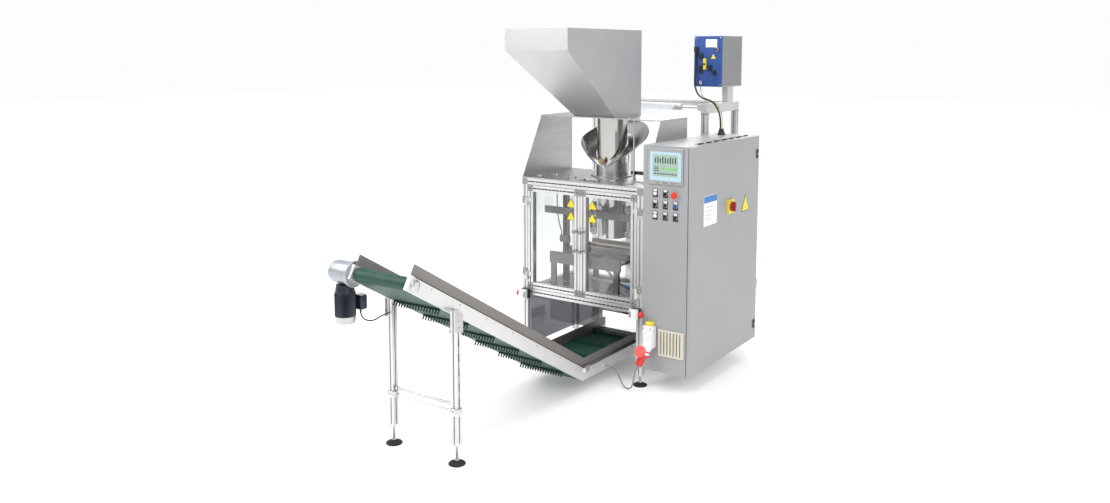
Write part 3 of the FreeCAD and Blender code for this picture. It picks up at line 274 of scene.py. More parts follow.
def film_wound():
    """Film wound on its core: milky white, with the fine rings of its layers on the end faces."""
    material, tree, shader = shaded("laminate_film_wound", linear("#DDE0E1"), 0.25, 0.0, Coat_Weight=0.4)
    place = add_node(tree, "ShaderNodeTexCoord").outputs["Object"]
    low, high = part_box("film_reel")
    middle = (low + high) / 2
    moved = add_node(tree, "ShaderNodeMapping", {"Vector": place, "Location": -middle}).outputs["Vector"]
    rings = add_node(tree, "ShaderNodeTexWave",
                     {"Vector": moved, "Scale": 70.0, "Distortion": 1.0, "Detail": 1.0},
                     wave_type="RINGS", rings_direction="X")
    shade = add_node(tree, "ShaderNodeValToRGB", {"Fac": rings.outputs["Fac"]})
    shade.color_ramp.elements[0].color = (*linear("#C8CCCE"), 1)
    shade.color_ramp.elements[1].color = (*linear("#E4E6E6"), 1)
    tree.links.new(shade.outputs["Color"], shader.inputs["Base Color"])
    bump = add_node(tree, "ShaderNodeBump",
                    {"Height": rings.outputs["Fac"], "Distance": 0.0003, "Strength": 0.6})
    tree.links.new(bump.outputs["Normal"], shader.inputs["Normal"])
    return material


def belt_cloth(colour):
    """PVC belt with a fabric imprint: dark green, fine square weave drawn at 4 mm so that it shows."""
    material, tree, shader = shaded("pvc_belt_fabric_imprint", colour, 0.5, 0.0)
    place = add_node(tree, "ShaderNodeTexCoord").outputs["Object"]
    threads = [add_node(tree, "ShaderNodeTexWave", {"Vector": place, "Scale": 80.0},
                        bands_direction=way).outputs["Fac"]
               for way in ("X", "Y")]
    weave = add_node(tree, "ShaderNodeMath", {0: threads[0], 1: threads[1]},
                     operation="MULTIPLY").outputs["Value"]
    patches = add_node(tree, "ShaderNodeTexNoise",
                       {"Vector": place, "Scale": 12.0, "Detail": 4.0}).outputs["Fac"]
    shade = add_node(tree, "ShaderNodeValToRGB", {"Fac": patches})
    shade.color_ramp.elements[0].color = (*[c * 0.7 for c in colour], 1)
    shade.color_ramp.elements[1].color = (*[c * 1.35 for c in colour], 1)
    tree.links.new(shade.outputs["Color"], shader.inputs["Base Color"])
    bump = add_node(tree, "ShaderNodeBump", {"Height": weave, "Distance": 0.0006, "Strength": 0.6})
    tree.links.new(bump.outputs["Normal"], shader.inputs["Normal"])
    return material


def perforated(name, colour):
    """Sheet with rows of small punched holes, 9 mm apart, whose dark dots are painted shade in the holes."""
    material, tree, shader = shaded(name, colour, 0.4, 0.3)
    place = add_node(tree, "ShaderNodeTexCoord").outputs["Object"]
    cells = add_node(tree, "ShaderNodeTexVoronoi", {"Vector": place, "Scale": 1 / 0.009, "Randomness": 0.0})
    # painted shade: the holes are real, but their near-black colour stands for the shade seen through them
    holes = add_node(tree, "ShaderNodeValToRGB", {"Fac": cells.outputs["Distance"]})
    holes.color_ramp.elements[0].color = (*[c * 0.25 for c in colour], 1)
    holes.color_ramp.elements[1].color = (*colour, 1)
    holes.color_ramp.elements[0].position, holes.color_ramp.elements[1].position = 0.26, 0.34
    tree.links.new(holes.outputs["Color"], shader.inputs["Base Color"])
    bump = add_node(tree, "ShaderNodeBump",
                    {"Height": holes.outputs["Color"], "Distance": 0.0008, "Strength": 0.6})
    tree.links.new(bump.outputs["Normal"], shader.inputs["Normal"])
    return material


def glass_panel(name, colour, strength=0.0):
    """Lit film of a touch panel under hard-coated glass: soft colours with a thin gloss on top."""
    material, tree, shader = shaded(name, colour, 0.35, 0.0, Coat_Weight=0.8, Coat_Roughness=0.06)
    shader.inputs["Emission Color"].default_value = (*colour, 1)
    shader.inputs["Emission Strength"].default_value = strength
    place = add_node(tree, "ShaderNodeTexCoord").outputs["Object"]
    dots = add_node(tree, "ShaderNodeTexNoise", {"Vector": place, "Scale": 400.0}).outputs["Fac"]
    bump = add_node(tree, "ShaderNodeBump", {"Height": dots, "Distance": 0.00002, "Strength": 0.5})
    tree.links.new(bump.outputs["Normal"], shader.inputs["Normal"])
    return material


finishes = {}


def make_finishes():
    """Makes every finish once, under the name the operators use."""
    colours = bpy.context.scene.machine_colours
    finishes.update(
        profile=aluminium_anodised(colours.profile), satin=stainless_satin(colours.sheet),
        blasted=stainless_blasted(colours.funnel), polished=stainless_polished(), bright=steel_bright(),
        coat=powder_coat(colours.cabinet),
        clear=polycarbonate("polycarbonate_clear", linear("#F4F6F6"), 0.02),
        smoked=polycarbonate("polycarbonate_smoked", linear("#5A5B60"), 0.04),
        black=moulded("abs_moulded_black", linear("#17181A")),
        white=moulded("abs_moulded_white", linear("#E6E4E8")),
        red=moulded("abs_moulded_red", colours.stop, 0.34),
        blue=moulded("abs_moulded_blue", linear("#2456A4"), 0.34),
        yellow=moulded("abs_moulded_yellow", colours.warning, 0.38),
        grey=moulded("abs_moulded_grey", linear("#8C8D86")),
        cream=moulded("abs_moulded_cream", linear("#CFC9BA")),
        knob=moulded("abs_moulded_dark_red", linear("#9A2A2C")), cast=grained(
            "aluminium_cast_tumbled", linear("#AEB2B8"), 0.42, 0.75, patch=25, tone=0.10, grain=2.4,
            depth=0.12),
        guard=stainless_guard(colours.guard),
        coder=enamel("enamel_sprayed_blue", colours.coder),
        navy=enamel("enamel_sprayed_navy", colours.motor),
        rubber=rubber("rubber_moulded_black", linear("#1C1C1C")), belt=belt_cloth(colours.belt),
        # the flights' green is the belt's darkened to four fifths: painted shade on the flights
        tooth=moulded("pvc_moulded_green", [c * 0.8 for c in colours.belt], 0.45),
        jaw=grained("bronze_jaw_machined", colours.jaw, 0.38, 0.9, patch=30, tone=0.15, grain=1.2,
                    depth=0.03),
        tool=grained("steel_tool_ground", linear("#B5B6B8"), 0.25, 1.0, patch=20, tone=0.05, grain=1.0,
                     depth=0.006),
        silicone=rubber("silicone_belt_red_brown", linear("#7A3B34")), web=film_web(), wound=film_wound(),
        board=grained("cardboard_core_wound", linear("#A58A64"), 0.8, patch=15, tone=0.12, grain=2.0,
                      depth=0.1),
        grey_pvc=pvc_sheath("pvc_sheath_grey", linear("#7F8284")),
        black_pvc=pvc_sheath("pvc_sheath_black", linear("#1A1B1C")),
        earth=earth_sheath(), hose=pvc_sheath("polyurethane_tube_blue", colours.hose),
        punched=perforated("steel_sheet_punched_grey", linear("#8E8F91")),
        paper=moulded("polyester_label_white", linear("#EDEFF1"), 0.5),
        ink=moulded("polyester_label_blue", linear("#3C7FBE"), 0.5),
        screen=glass_panel("touch_panel_border", linear("#A9C3CF"), 0.15),
        page=glass_panel("touch_panel_page", linear("#93A99C"), 0.15),
        mark=glass_panel("touch_panel_mark", linear("#2B3B3A")),
        band=glass_panel("touch_panel_band", linear("#79B46C"), 0.15),
    )


# ---------------------------------------------------------------- workshop

@functools.cache
def box_of(node):
    """The box round one node, at rest."""
    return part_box(node)


def spot(node, fractions, shift=(0, 0, 0)):
    """A point of a node's box, by fractions of its three sides, then moved by millimetres."""
    low, high = box_of(node)
    return Vector([low[k] + (high[k] - low[k]) * fractions[k] + shift[k] * MM for k in range(3)])


def inside(x, y, z):
    """A point in millimetres from the middle of the table's front edge, and above the floor."""
    return Vector((*spot("head_plates", (0.5, 0, 0), (x, y, 0)).xy, z * MM))


def corner_signs(axis, way, others):
    """The signs of a block's corner: way on one axis, and others on the two that remain."""
    signs = list(others)
    signs.insert(axis, way)
    return tuple(signs)


class Workpiece:
    """Gathers closed shapes, each with its finish's name, and makes one piece of them."""

    def __init__(self):
        self.mesh = bmesh.new()
        self.used = []

    def paint(self, faces, finish, smooth=False):
        """Gives faces the finish of that name."""
        if finish not in self.used:
            self.used.append(finish)
        for face in faces:
            face.material_index = self.used.index(finish)
            face.smooth = smooth

    def block(self, centre, sizes, finish, edge=0.8, turn=None):
        """A block with chamfered edges; sizes and edge in millimetres, turn is a rotation matrix."""
        edge = min(edge, min(sizes) * 0.3)
        corners = {}
        for signs in itertools.product((-1, 1), repeat=3):
            for axis in range(3):
                local = Vector([signs[k] * (sizes[k] / 2 - (edge if k != axis else 0)) * MM
                                for k in range(3)])
                corners[signs, axis] = self.mesh.verts.new(centre + (turn @ local if turn else local))
        faces = [self.mesh.faces.new([corners[signs, axis] for axis in range(3)])
                 for signs in itertools.product((-1, 1), repeat=3)]
        for axis in range(3):
            first, second = [k for k in range(3) if k != axis]
            for way in (-1, 1):
                faces.append(self.mesh.faces.new(
                    [corners[corner_signs(axis, way, others), axis]
                     for others in ((-1, -1), (1, -1), (1, 1), (-1, 1))]))
            for others in itertools.product((-1, 1), repeat=2):
                ends = ((-1, first), (1, first), (1, second), (-1, second))
                faces.append(self.mesh.faces.new(
                    [corners[corner_signs(axis, way, others), side] for way, side in ends]))
        self.paint(faces, finish)

    def turning(self, at, axis, outline, finish, steps=36, shape=None):
        """A round piece: outline of (radius, height) in millimetres, turned about an axis.
        shape(angle, radius) may change the radius round the axis."""
        axis = Vector(axis).normalized()
        side = axis.orthogonal().normalized()
        other = axis.cross(side)
        rings = []
        for radius, height in outline:
            if radius == 0:
                rings.append([self.mesh.verts.new(at + axis * height * MM)])
                continue
            ring = []
            for k in range(steps):
                angle = 2 * math.pi * k / steps
                reach = (shape(k, radius) if shape else radius) * MM
                ring.append(self.mesh.verts.new(
                    at + axis * height * MM + (side * math.cos(angle) + other * math.sin(angle)) * reach))
            rings.append(ring)
        faces = []
        for low, high in zip(rings, rings[1:]):
            for k in range(steps):
                n = (k + 1) % steps
                if len(low) == 1 and len(high) == 1:
                    continue
                if len(low) == 1:
                    faces.append(self.mesh.faces.new((low[0], high[n], high[k])))
                elif len(high) == 1:
                    faces.append(self.mesh.faces.new((low[k], low[n], high[0])))
                else:
                    faces.append(self.mesh.faces.new((low[k], low[n], high[n], high[k])))
        if len(rings[0]) > 1:
            faces.append(self.mesh.faces.new(rings[0][::-1]))
        if len(rings[-1]) > 1:
            faces.append(self.mesh.faces.new(rings[-1]))
        self.paint(faces, finish, smooth=True)

    def slab(self, corners, thick, finish):
        """A flat piece: its outline's corners, given thickness along a vector in metres."""
        near = [self.mesh.verts.new(c) for c in corners]
        far = [self.mesh.verts.new(Vector(c) + Vector(thick)) for c in corners]
        faces = [self.mesh.faces.new(near[::-1]), self.mesh.faces.new(far)]
        for k in range(len(near)):
            n = (k + 1) % len(near)
            faces.append(self.mesh.faces.new((near[k], near[n], far[n], far[k])))
        self.paint(faces, finish)

    def grid(self, rows, thick, finish, closed=False):
        """A curved sheet through rows of points, with thickness along its own normals."""
        verts = [[self.mesh.verts.new(p) for p in row] for row in rows]
        faces = []
        count = len(rows) if closed else len(rows) - 1
        for i in range(count):
            a, b = verts[i], verts[(i + 1) % len(rows)]
            for j in range(len(a) - 1):
                faces.append(self.mesh.faces.new((a[j], b[j], b[j + 1], a[j + 1])))
        bmesh.ops.recalc_face_normals(self.mesh, faces=faces)
        before = set(self.mesh.faces)
        bmesh.ops.solidify(self.mesh, geom=faces, thickness=thick * MM)
        self.paint(set(faces) | (set(self.mesh.faces) - before), finish, smooth=True)

    def bolt(self, at, axis, finish="bright", size=None):
        """A button head with its hexagon socket."""
        wide = (size or bpy.context.scene.machine_sizes.bolt / MM) / 2
        self.turning(at, axis, [(wide, 0), (wide, wide * 0.35), (wide * 0.7, wide * 0.75),
                                (wide * 0.42, wide * 0.8), (wide * 0.38, wide * 0.35), (0, wide * 0.35)],
                     finish, steps=12)

    def done(self, name, body, slot, *replaced):
        """Makes the piece, joins it to its body and hides the nodes it stands for."""
        bmesh.ops.recalc_face_normals(self.mesh, faces=self.mesh.faces)
        mesh = bpy.data.meshes.new(name)
        self.mesh.to_mesh(mesh)
        self.mesh.free()
        for finish in self.used:
            mesh.materials.append(finishes[finish])
        mesh.set_sharp_from_angle(angle=math.radians(35))
        piece = bpy.data.objects.new(name, mesh)
        bpy.context.scene.collection.objects.link(piece)
        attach(piece, body)
        if replaced:
            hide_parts(*replaced)
        return piece


def cord_curve(name, route, radius, finish, body=ROOT):
    """A cord as one open smooth spline through given control points, in metres."""
    curve = bpy.data.curves.new(name, "CURVE")
    curve.dimensions = "3D"
    curve.bevel_depth = radius
    curve.bevel_resolution = 4
    curve.resolution_u = 12
    curve.use_fill_caps = True
    line = curve.splines.new("NURBS")
    line.points.add(len(route) - 1)
    for point, place in zip(line.points, route):
        point.co = (*place, 1)
    line.order_u = 3
    line.use_endpoint_u = True
    curve.materials.append(finishes[finish])
    cord = bpy.data.objects.new(name, curve)
    bpy.context.scene.collection.objects.link(cord)
    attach(cord, body)
    return cord


class MACHINE_OT_camera(bpy.types.Operator):
    """Stand the camera at head height to the right of the machine"""
    bl_idname = "machine.camera"
    bl_label = "Camera"

    def execute(self, context):
        data = bpy.data.cameras.new("camera")
        data.sensor_width = 36
        data.lens = 30.0
        data.shift_y = -0.095
        data.clip_end = 60
        camera = bpy.data.objects.new("camera", data)
        camera.location = (3.268, -5.040, 2.23)
        camera.rotation_euler = (math.radians(84.2), 0, math.radians(34.9))
        bpy.context.scene.collection.objects.link(camera)
        bpy.context.scene.camera = camera
        return {"FINISHED"}


class MACHINE_OT_cords(bpy.types.Operator):
    """Lay the free cords and the held air hoses"""
    bl_idname = "machine.cords"
    bl_label = "Cords and hoses"

    def execute(self, context):
        def route(*points):
            return [inside(*point) for point in points]

        lead = cord_curve("conveyor_lead", route(
            (248, -60, 118), (281, -60, 118), (314, -61.5, 111), (343, -66, 94), (366, -74, 69),
            (385, -82, 42),
            (404.7, -88.1, 18.2), (433.4, -97, 7.6), (463.5, -106.4, 13), (486.9, -113.7, 33.4),
            (498, -117, 65),
            (501.5, -105.9, 117), (514.7, -94.9, 157.5)), 4.75 * MM, "grey_pvc")
        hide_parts("conveyor_cord")
        plug = make_plug()
        coder = cord_curve("coder_lead", route(
            (300, 1136, 2230), (300, 1136, 2150), (296, 1131, 2072), (301, 1118, 1998), (326, 1096, 1936),
            (372, 1068, 1896), (426, 1040, 1880), (482, 1010, 1876), (534, 982, 1852), (574, 960, 1808),
            (598, 950, 1750), (598, 950, 1676)), 6.5 * MM, "black_pvc")
        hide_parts("coder_cable")
        earth = cord_curve("earth_lead", route(
            (342, 1140, 1990), (342, 1140, 1962), (347, 1132, 1934), (363, 1118, 1908), (389, 1100, 1890),
            (422, 1080, 1880), (462, 1058, 1876), (502, 1034, 1866), (540, 1008, 1844), (576, 983, 1812),
            (606, 962, 1770), (613, 945, 1722), (613, 945, 1676)), 3 * MM, "earth")
        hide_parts("earth_wire")
        motor = cord_curve("motor_cable", route(
            (-240, -1811, 836), (-240, -1811, 802), (-238, -1789, 773), (-235, -1755, 756),
            (-231, -1719, 752),
            (-227, -1684, 762), (-224, -1648, 770), (-224, -1610, 770)), 4 * MM, "black_pvc")
        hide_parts("motor_lead")
        hoses = (
            ((-355, 240, 1337), (-355, 240, 1270), (-359, 244, 1200), (-363, 250, 1130), (-364, 258, 1062),
             (-361, 268, 1000), (-354, 281, 945), (-350, 291, 915), (-350, 291, 890)),
            ((34, 110, 780), (72, 110, 780), (110, 104, 768), (144, 97, 746), (175, 90, 719), (208, 88, 692),
             (246, 87, 668), (288, 87, 650), (330, 86, 638), (374, 84, 628), (420, 82, 623),
             (467.5, 82, 623)),
            ((34, 150, 780), (74, 150, 780), (112, 142, 764), (144, 130, 738), (173, 122, 709),
             (206, 116, 680),
             (246, 112, 655), (290, 110, 635), (334, 108, 620), (378, 106, 609), (423, 103, 603),
             (467.5, 103, 603)))
        for k, points in enumerate(hoses):
            hose = cord_curve(f"air_hose_{k + 1}", route(*points), 4 * MM, "hose")
            if k == 0:
                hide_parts("air_hoses")
        return {"FINISHED"}


def make_plug():
    """Red plug on the conveyor's lead: collar, ribbed grip and the grey clamping nut."""
    lean = Vector(SOCKET_LEAN).normalized()
    start = inside(*SOCKET_AT) + lean * 75.4 * MM
    work = Workpiece()

    def ribs(k, radius):
        return radius - (1.2 if k % 3 == 0 else 0)

    work.turning(start, lean, [(0, 0), (35, 0), (36, 1), (36, 18), (34, 20), (28, 26)], "red", 48)
    work.turning(start, lean, [(27.5, 24), (26, 40), (25, 84), (22, 88)], "red", 48, ribs)
    work.turning(start, lean, [(20, 86), (20, 92), (15, 98), (11, 100), (10, 112), (0, 112)], "grey", 24)
    return work.done("lead_plug", ROOT, "red_abs", "conveyor_plug")


NODE_FINISH = {
    "profile": "guard_frame film_frame conveyor_frame left_door_frame right_door_frame dancer_arm "
               "left_drive_pulley right_drive_pulley guide_roller",
    "clear": "side_panes left_door_pane right_door_pane", "smoked": "smoked_skirts",
    "satin": "head_plates", "guard": "conveyor_guards sealing_frame", "blasted": "product_funnel",
    "polished": "forming_tube",
    "coat": "cabinet_shell cabinet_door", "black": "stop_boxes stop_button mode_selector light_selector",
    "red": "emergency_stop left_frame_stop right_frame_stop socket_lid", "blue": "reset_button",
    "white": "start_button", "yellow": "isolator_plate", "knob": "isolator_knob", "cream": "filter_grille",
    "belt": "conveyor_belt", "tool": "knife seal_bar", "bright": "drive_roller tail_roller",
    "grey": "regulator_knob",
}


class MACHINE_OT_frame_finishes(bpy.types.Operator):
    """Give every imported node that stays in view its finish"""
    bl_idname = "machine.frame_finishes"
    bl_label = "Finishes of the frame"

    def execute(self, context):
        for finish, names in NODE_FINISH.items():
            for name in names.split():
                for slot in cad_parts[name].material_slots:
                    slot.material = finishes[finish]
        return {"FINISHED"}


class MACHINE_OT_feet(bpy.types.Operator):
    """Turn the levelling feet: rubber-shod pads, ball joints, nuts and threaded stems"""
    bl_idname = "machine.feet"
    bl_label = "Levelling feet"

    def execute(self, context):
        work = Workpiece()
        posts = [(x, y, 75) for x in (-POST_X, POST_X) for y in (22.5, 657.5, 950.5, 1480.5)]
        posts += [(CONVEYOR_X + side * LEG_OUT, LEG_Y, 112) for side in (-1, 1)]
        for x, y, top in posts:
            at = inside(x, y, 0)
            work.turning(at, UP,
                         [(0, 0), (46, 0), (47, 2), (47, 6), (44, 9), (30, 13), (19, 16), (16, 22), (0, 22)],
                         "rubber", 40)
            work.turning(at, UP, [(0, 20), (12, 20), (14, 24), (12, 29), (8, 31), (0, 31)], "bright", 20)
            thread = [(8 - (0.9 if k % 2 else 0), 30 + k * 2.5) for k in range(int((top - 32) / 2.5))]
            work.turning(at, UP, [(0, 30)] + thread + [(7, top)], "bright", 16)
            work.turning(at, UP, [(13, top - 11), (13, top - 1)], "bright", 6)
        work.done("threaded_feet", ROOT, "rubber_foot", "levelling_feet")
        return {"FINISHED"}


class MACHINE_OT_door_fittings(bpy.types.Operator):
    """Fit corner caps, slot strips, handle plates and plain warning triangles to both guard doors"""
    bl_idname = "machine.door_fittings"
    bl_label = "Door fittings"

    def execute(self, context):
        sizes = context.scene.machine_sizes
        cap = sizes.cap / MM
        for label, side in (("left", -1), ("right", 1)):
            node = label + "_door_frame"
            work = Workpiece()
            outer, inner = side * 424.5, side * 24
            for x in (outer, inner):
                for z in (562.5, 1266.5):
                    work.block(inside(x, -0.7, z), (cap, 2.6, cap), "grey", 1.2)
                    work.bolt(inside(x, -2, z), FRONT, "black", 9)
            for z in (562.5, 1266.5):
                for k in range(11):
                    work.block(inside(side * (64 + k * 32), 1.2, z), (16, 3, 7), "black", 0.4)
            for z in (868, 1002):
                work.block(inside(inner, -44, z), (21, 16, 24), "grey", 2)
                work.block(inside(inner + side * 2, -14, z), (24, 27, 15), "grey", 2)
            for z in (1100, 1190):
                half = sizes.triangle / 2 / MM
                x = side * 88
                corners = [inside(x - half, 19.2, z - half * 0.85), inside(x + half, 19.2, z - half * 0.85),
                           inside(x, 19.2, z + half * 0.85)]
                work.slab(corners, (0, 0.0006, 0), "black")
                centre = sum(corners, Vector()) / 3
                work.slab([centre.lerp(c, 0.86) - Vector((0, 0.0004, 0)) for c in corners], (0, 0.0006, 0),
                          "yellow")
            work.done(label + "_door_fittings", label + "_door", "grey_enamel")
        work = Workpiece()
        for side in (-1, 1):
            for z in (660, 1180):
                work.block(inside(side * 472, -3, z), (36, 6, 46), "grey", 1.5)
                work.bolt(inside(side * 472, -6, z + 12), FRONT)
                work.bolt(inside(side * 472, -6, z - 12), FRONT)
            for z in (514.5, 1314.5):
                work.block(inside(side * POST_X, -0.7, z), (cap, 2.4, cap), "grey", 1.2)
        for z in (514.5, 1314.5):
            for k in range(27):
                work.block(inside(-430 + k * 33, 1.2, z), (17, 3, 7), "black", 0.4)
        work.done("frame_brackets", ROOT, "grey_enamel")
        return {"FINISHED"}


class MACHINE_OT_shoulder(bpy.types.Operator):
    """Form the collar round the tube: two wings that meet in a V at the front"""
    bl_idname = "machine.shoulder"
    bl_label = "Forming shoulder"

    def execute(self, context):
        rows = []
        steps, rings = 96, 14
        for i in range(steps):
            angle = 2 * math.pi * i / steps - math.pi
            away = (1 - math.cos(angle)) / 2
            rise = 1440 + 205 * away ** 0.8
            tip = rise + 14 + 74 * away
            reach = 120 + 140 * min(1, 1.5 * away ** 0.6)
            row = []
            for j in range(rings):
                t = j / (rings - 1)
                radius = 116 + (reach - 116) * (t ** 0.75)
                height = rise + (min(tip, 1733) - rise) * t ** 1.8 - 26 * math.sin(math.pi * t) * (1 - away)
                row.append(inside(radius * math.sin(angle), TUBE_Y - radius * math.cos(angle), height))
            rows.append(row)
        work = Workpiece()
        work.grid(rows, 2.5, "satin", closed=True)
        centre = inside(0, TUBE_Y, 0)
        work.turning(centre, UP, [(111.5, 1346), (116, 1346), (116, 1440), (111.5, 1440), (111.5, 1346)],
                     "satin", 72)
        work.turning(centre, UP, [(112, 1345.3), (155, 1345.3), (155, 1351), (153, 1353), (112, 1353)],
                     "satin", 72)
        for k in range(8):
            angle = math.pi * (k + 0.5) / 4
            work.bolt(inside(140 * math.sin(angle), TUBE_Y - 140 * math.cos(angle), 1353), UP)
        work.turning(inside(0, 300, 1462), FRONT,
                     [(0, 0), (7, 0), (7, 16), (19, 18), (22, 24), (19, 32), (0, 34)],
                     "board", 24)
        work.done("folded_shoulder", ROOT, "satin_steel", "forming_shoulder")
        return {"FINISHED"}


class MACHINE_OT_head_fittings(bpy.types.Operator):
    """Fit the rods, bar and small panel on the table and the top plate"""
    bl_idname = "machine.head_fittings"
    bl_label = "Head fittings"

    def execute(self, context):
        work = Workpiece()
        rod = [(0, 1345), (9, 1345), (9, 1352), (6, 1353), (6, 1766), (0, 1766)]
        work.turning(inside(-250, 262, 0), UP, rod, "bright", 20)
        work.turning(inside(250, 300, 0), UP, rod, "bright", 20)
        work.block(inside(330, 330, 1392), (230, 34, 22), "black", 3)
        for x in (240, 420):
            work.turning(inside(x, 330, 1345), UP, [(0, 0), (12, 0), (12, 4), (7, 5), (7, 37), (0, 37)],
                         "bright", 16)
        work.block(inside(487, 300, 1700), (12, 120, 130), "coat", 2)
        for x, y in ((-160, 150), (-60, 120), (60, 112), (170, 160), (-330, 190), (-400, 90), (330, 110)):
            work.block(inside(x, y, 1350), (46, 30, 9), "satin", 1.5)
            work.bolt(inside(x, y, 1354.5), UP)
        for x in (-470, -240, 0, 240, 470):
            work.bolt(inside(x, 244, 1775), UP)
        for side in (-1, 1):
            for y, z in ((40, 1365), (200, 1366), (560, 1366), (280, 1740), (560, 1740)):
                work.bolt(inside(side * 494, y, z), (side, 0, 0))
        work.done("head_fittings", ROOT, "satin_steel")
        return {"FINISHED"}


class MACHINE_OT_film(bpy.types.Operator):
    """Draw the film web over the guide roller and down to the shoulder, and wind the reel"""
    bl_idname = "machine.film"
    bl_label = "Film and reel"

    def execute(self, context):
        sizes = context.scene.machine_sizes
        web = Workpiece()
        rows = []
        for i in range(25):
            t = i / 24
            across = -250 + 500 * t
            pull = 1 - 0.12 * math.sin(math.pi * t)
            line = [(across, 978 - 2, 1822 - 20), (across, 977, 1834)]
            line += [(across, 950.5 + 27 * math.cos(a), 1822 + 27 * math.sin(a)) for a in
                     (math.radians(v) for v in (35, 60, 90, 115))]
            for j in range(1, 12):
                s = j / 11
                end = (across * 0.92, 690 - 30 * pull, 1728)
                start = (across, 938, 1846.5)
                sag = 3.0 * math.sin(math.pi * s) + 2.5 * math.sin(9 * t * math.pi) * math.sin(math.pi * s)
                line.append(tuple(start[k] + (end[k] - start[k]) * s - (sag if k == 2 else 0)
                                  for k in range(3)))
            rows.append([inside(*point) for point in line])
        web.grid(rows, sizes.film / MM, "web")
        piece = web.done("film_web", ROOT, "wound_film")
        scrap = Workpiece()
        rows = [[inside(-70 + i * 12 + 4 * math.sin(j), 70 + j * 11,
                        1348 + 9 * abs(math.sin(i * 0.9 + j * 0.55)))
                 for j in range(9)] for i in range(12)]
        scrap.grid(rows, 0.6, "web")
        piece = scrap.done("film_scrap", ROOT, "wound_film")
        work = Workpiece()
        low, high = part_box("film_reel")
        at = Vector((low.x, (low.y + high.y) / 2, (low.z + high.z) / 2))
        axis = ALONG["x"]
        half = (high.x - low.x) / 2 / MM
        a, b = half - 260, half + 260
        work.turning(at, axis, [(0, 0), (18, 0), (18, 2 * half), (0, 2 * half)], "bright", 28)
        work.turning(at, axis, [(46, a), (169, a), (170, a + 1), (170, b - 1), (169, b), (46, b), (46, a)],
                     "wound", 96)
        for start, way in ((a, -1), (b, 1)):
            work.turning(at + axis * (start * MM), axis * way,
                         [(18.2, -12), (45.5, -12), (45.5, 2), (38, 3), (38, 1),
                                                               (18.2, 1)], "board", 48)
            work.turning(at + axis * (start * MM), axis * way,
                         [(18.5, 1), (40, 1), (34, 14), (26, 20), (18.5, 20)], "profile", 36)
            work.bolt(at + axis * ((start + way * 10) * MM) + UP * 0.03, UP, "bright", 10)
        work.done("wound_reel", "film_reel", "wound_film", "film_reel")
        return {"FINISHED"}


class MACHINE_OT_cabinet_details(bpy.types.Operator):
    """Add the cabinet's seam, locks, plain labels and roof fittings"""
    bl_idname = "machine.cabinet_details"
    bl_label = "Cabinet details"

    def execute(self, context):
        work = Workpiece()
        work.block(inside(821.6, 2, 880), (3.2, 5, 1498), "rubber", 0.8)
        work.block(inside(823.4, 540, 1629.2), (2.0, 1078, 2), "rubber", 0.4)
        for k in range(7):
            y = 232 + 120 * k
            work.slab([inside(761, y - 42, 1630), inside(761, y + 42, 1630), inside(792, y + 42, 1637),
                       inside(792, y - 42, 1637)], (0, 0, 0.0014), "coat")
            for end in (-42, 42):
                work.slab([inside(761, y + end, 1630), inside(792, y + end, 1637),
                           inside(792, y + end, 1630)],
                          (0, 0.0014, 0), "coat")
        centre = inside(605, 950, 1630)
        work.turning(centre, UP,
                     [(0, 0), (30, 0), (30, 4), (27, 6), (20, 30), (17.6, 34), (17.6, 45.6), (15, 45.8)],
                     "black", 36)
        work.block(inside(659, 8, 150), (322, 8, 34), "coat", 1)
        work.done("cabinet_trim", ROOT, "grey_enamel")
        door = Workpiece()
        for z in (1500, 240):
            door.block(inside(849.5, 1041, z), (10, 25, 62), "black", 3)
            door.turning(inside(854, 1041, z), (1, 0, 0), [(0, 0), (8, 0), (7.5, 2.5), (4, 3), (0, 1.5)],
                         "bright", 20)
        face = 845.4
        door.block(inside(face, 280, 1194), (0.8, 200, 200), "paper", 0.2)
        door.block(inside(face + 0.5, 280, 1269), (0.8, 196, 44), "ink", 0.2)
        for k in range(4):
            door.block(inside(face + 0.5, 262 - 4 * k, 1218 - 26 * k), (0.6, 120 - 12 * k, 3), "grey", 0.1)
        half, base, tip = 66, 1108, 1232
        corners = [inside(face, 850 - half, base), inside(face, 850 + half, base), inside(face, 850, tip)]
        door.slab(corners, (0.0006, 0, 0), "black")
        middle = sum(corners, Vector()) / 3
        door.slab([middle.lerp(c, 0.88) + Vector((0.0004, 0, 0)) for c in corners], (0.0006, 0, 0), "yellow")
        for y, z in ((548, 1138), (627, 1138), (548, 1217), (627, 1217)):
            door.bolt(inside(859, y, z), (1, 0, 0), "bright", 8)
        door.done("cabinet_door_trim", "cabinet_door", "grey_enamel")
        return {"FINISHED"}


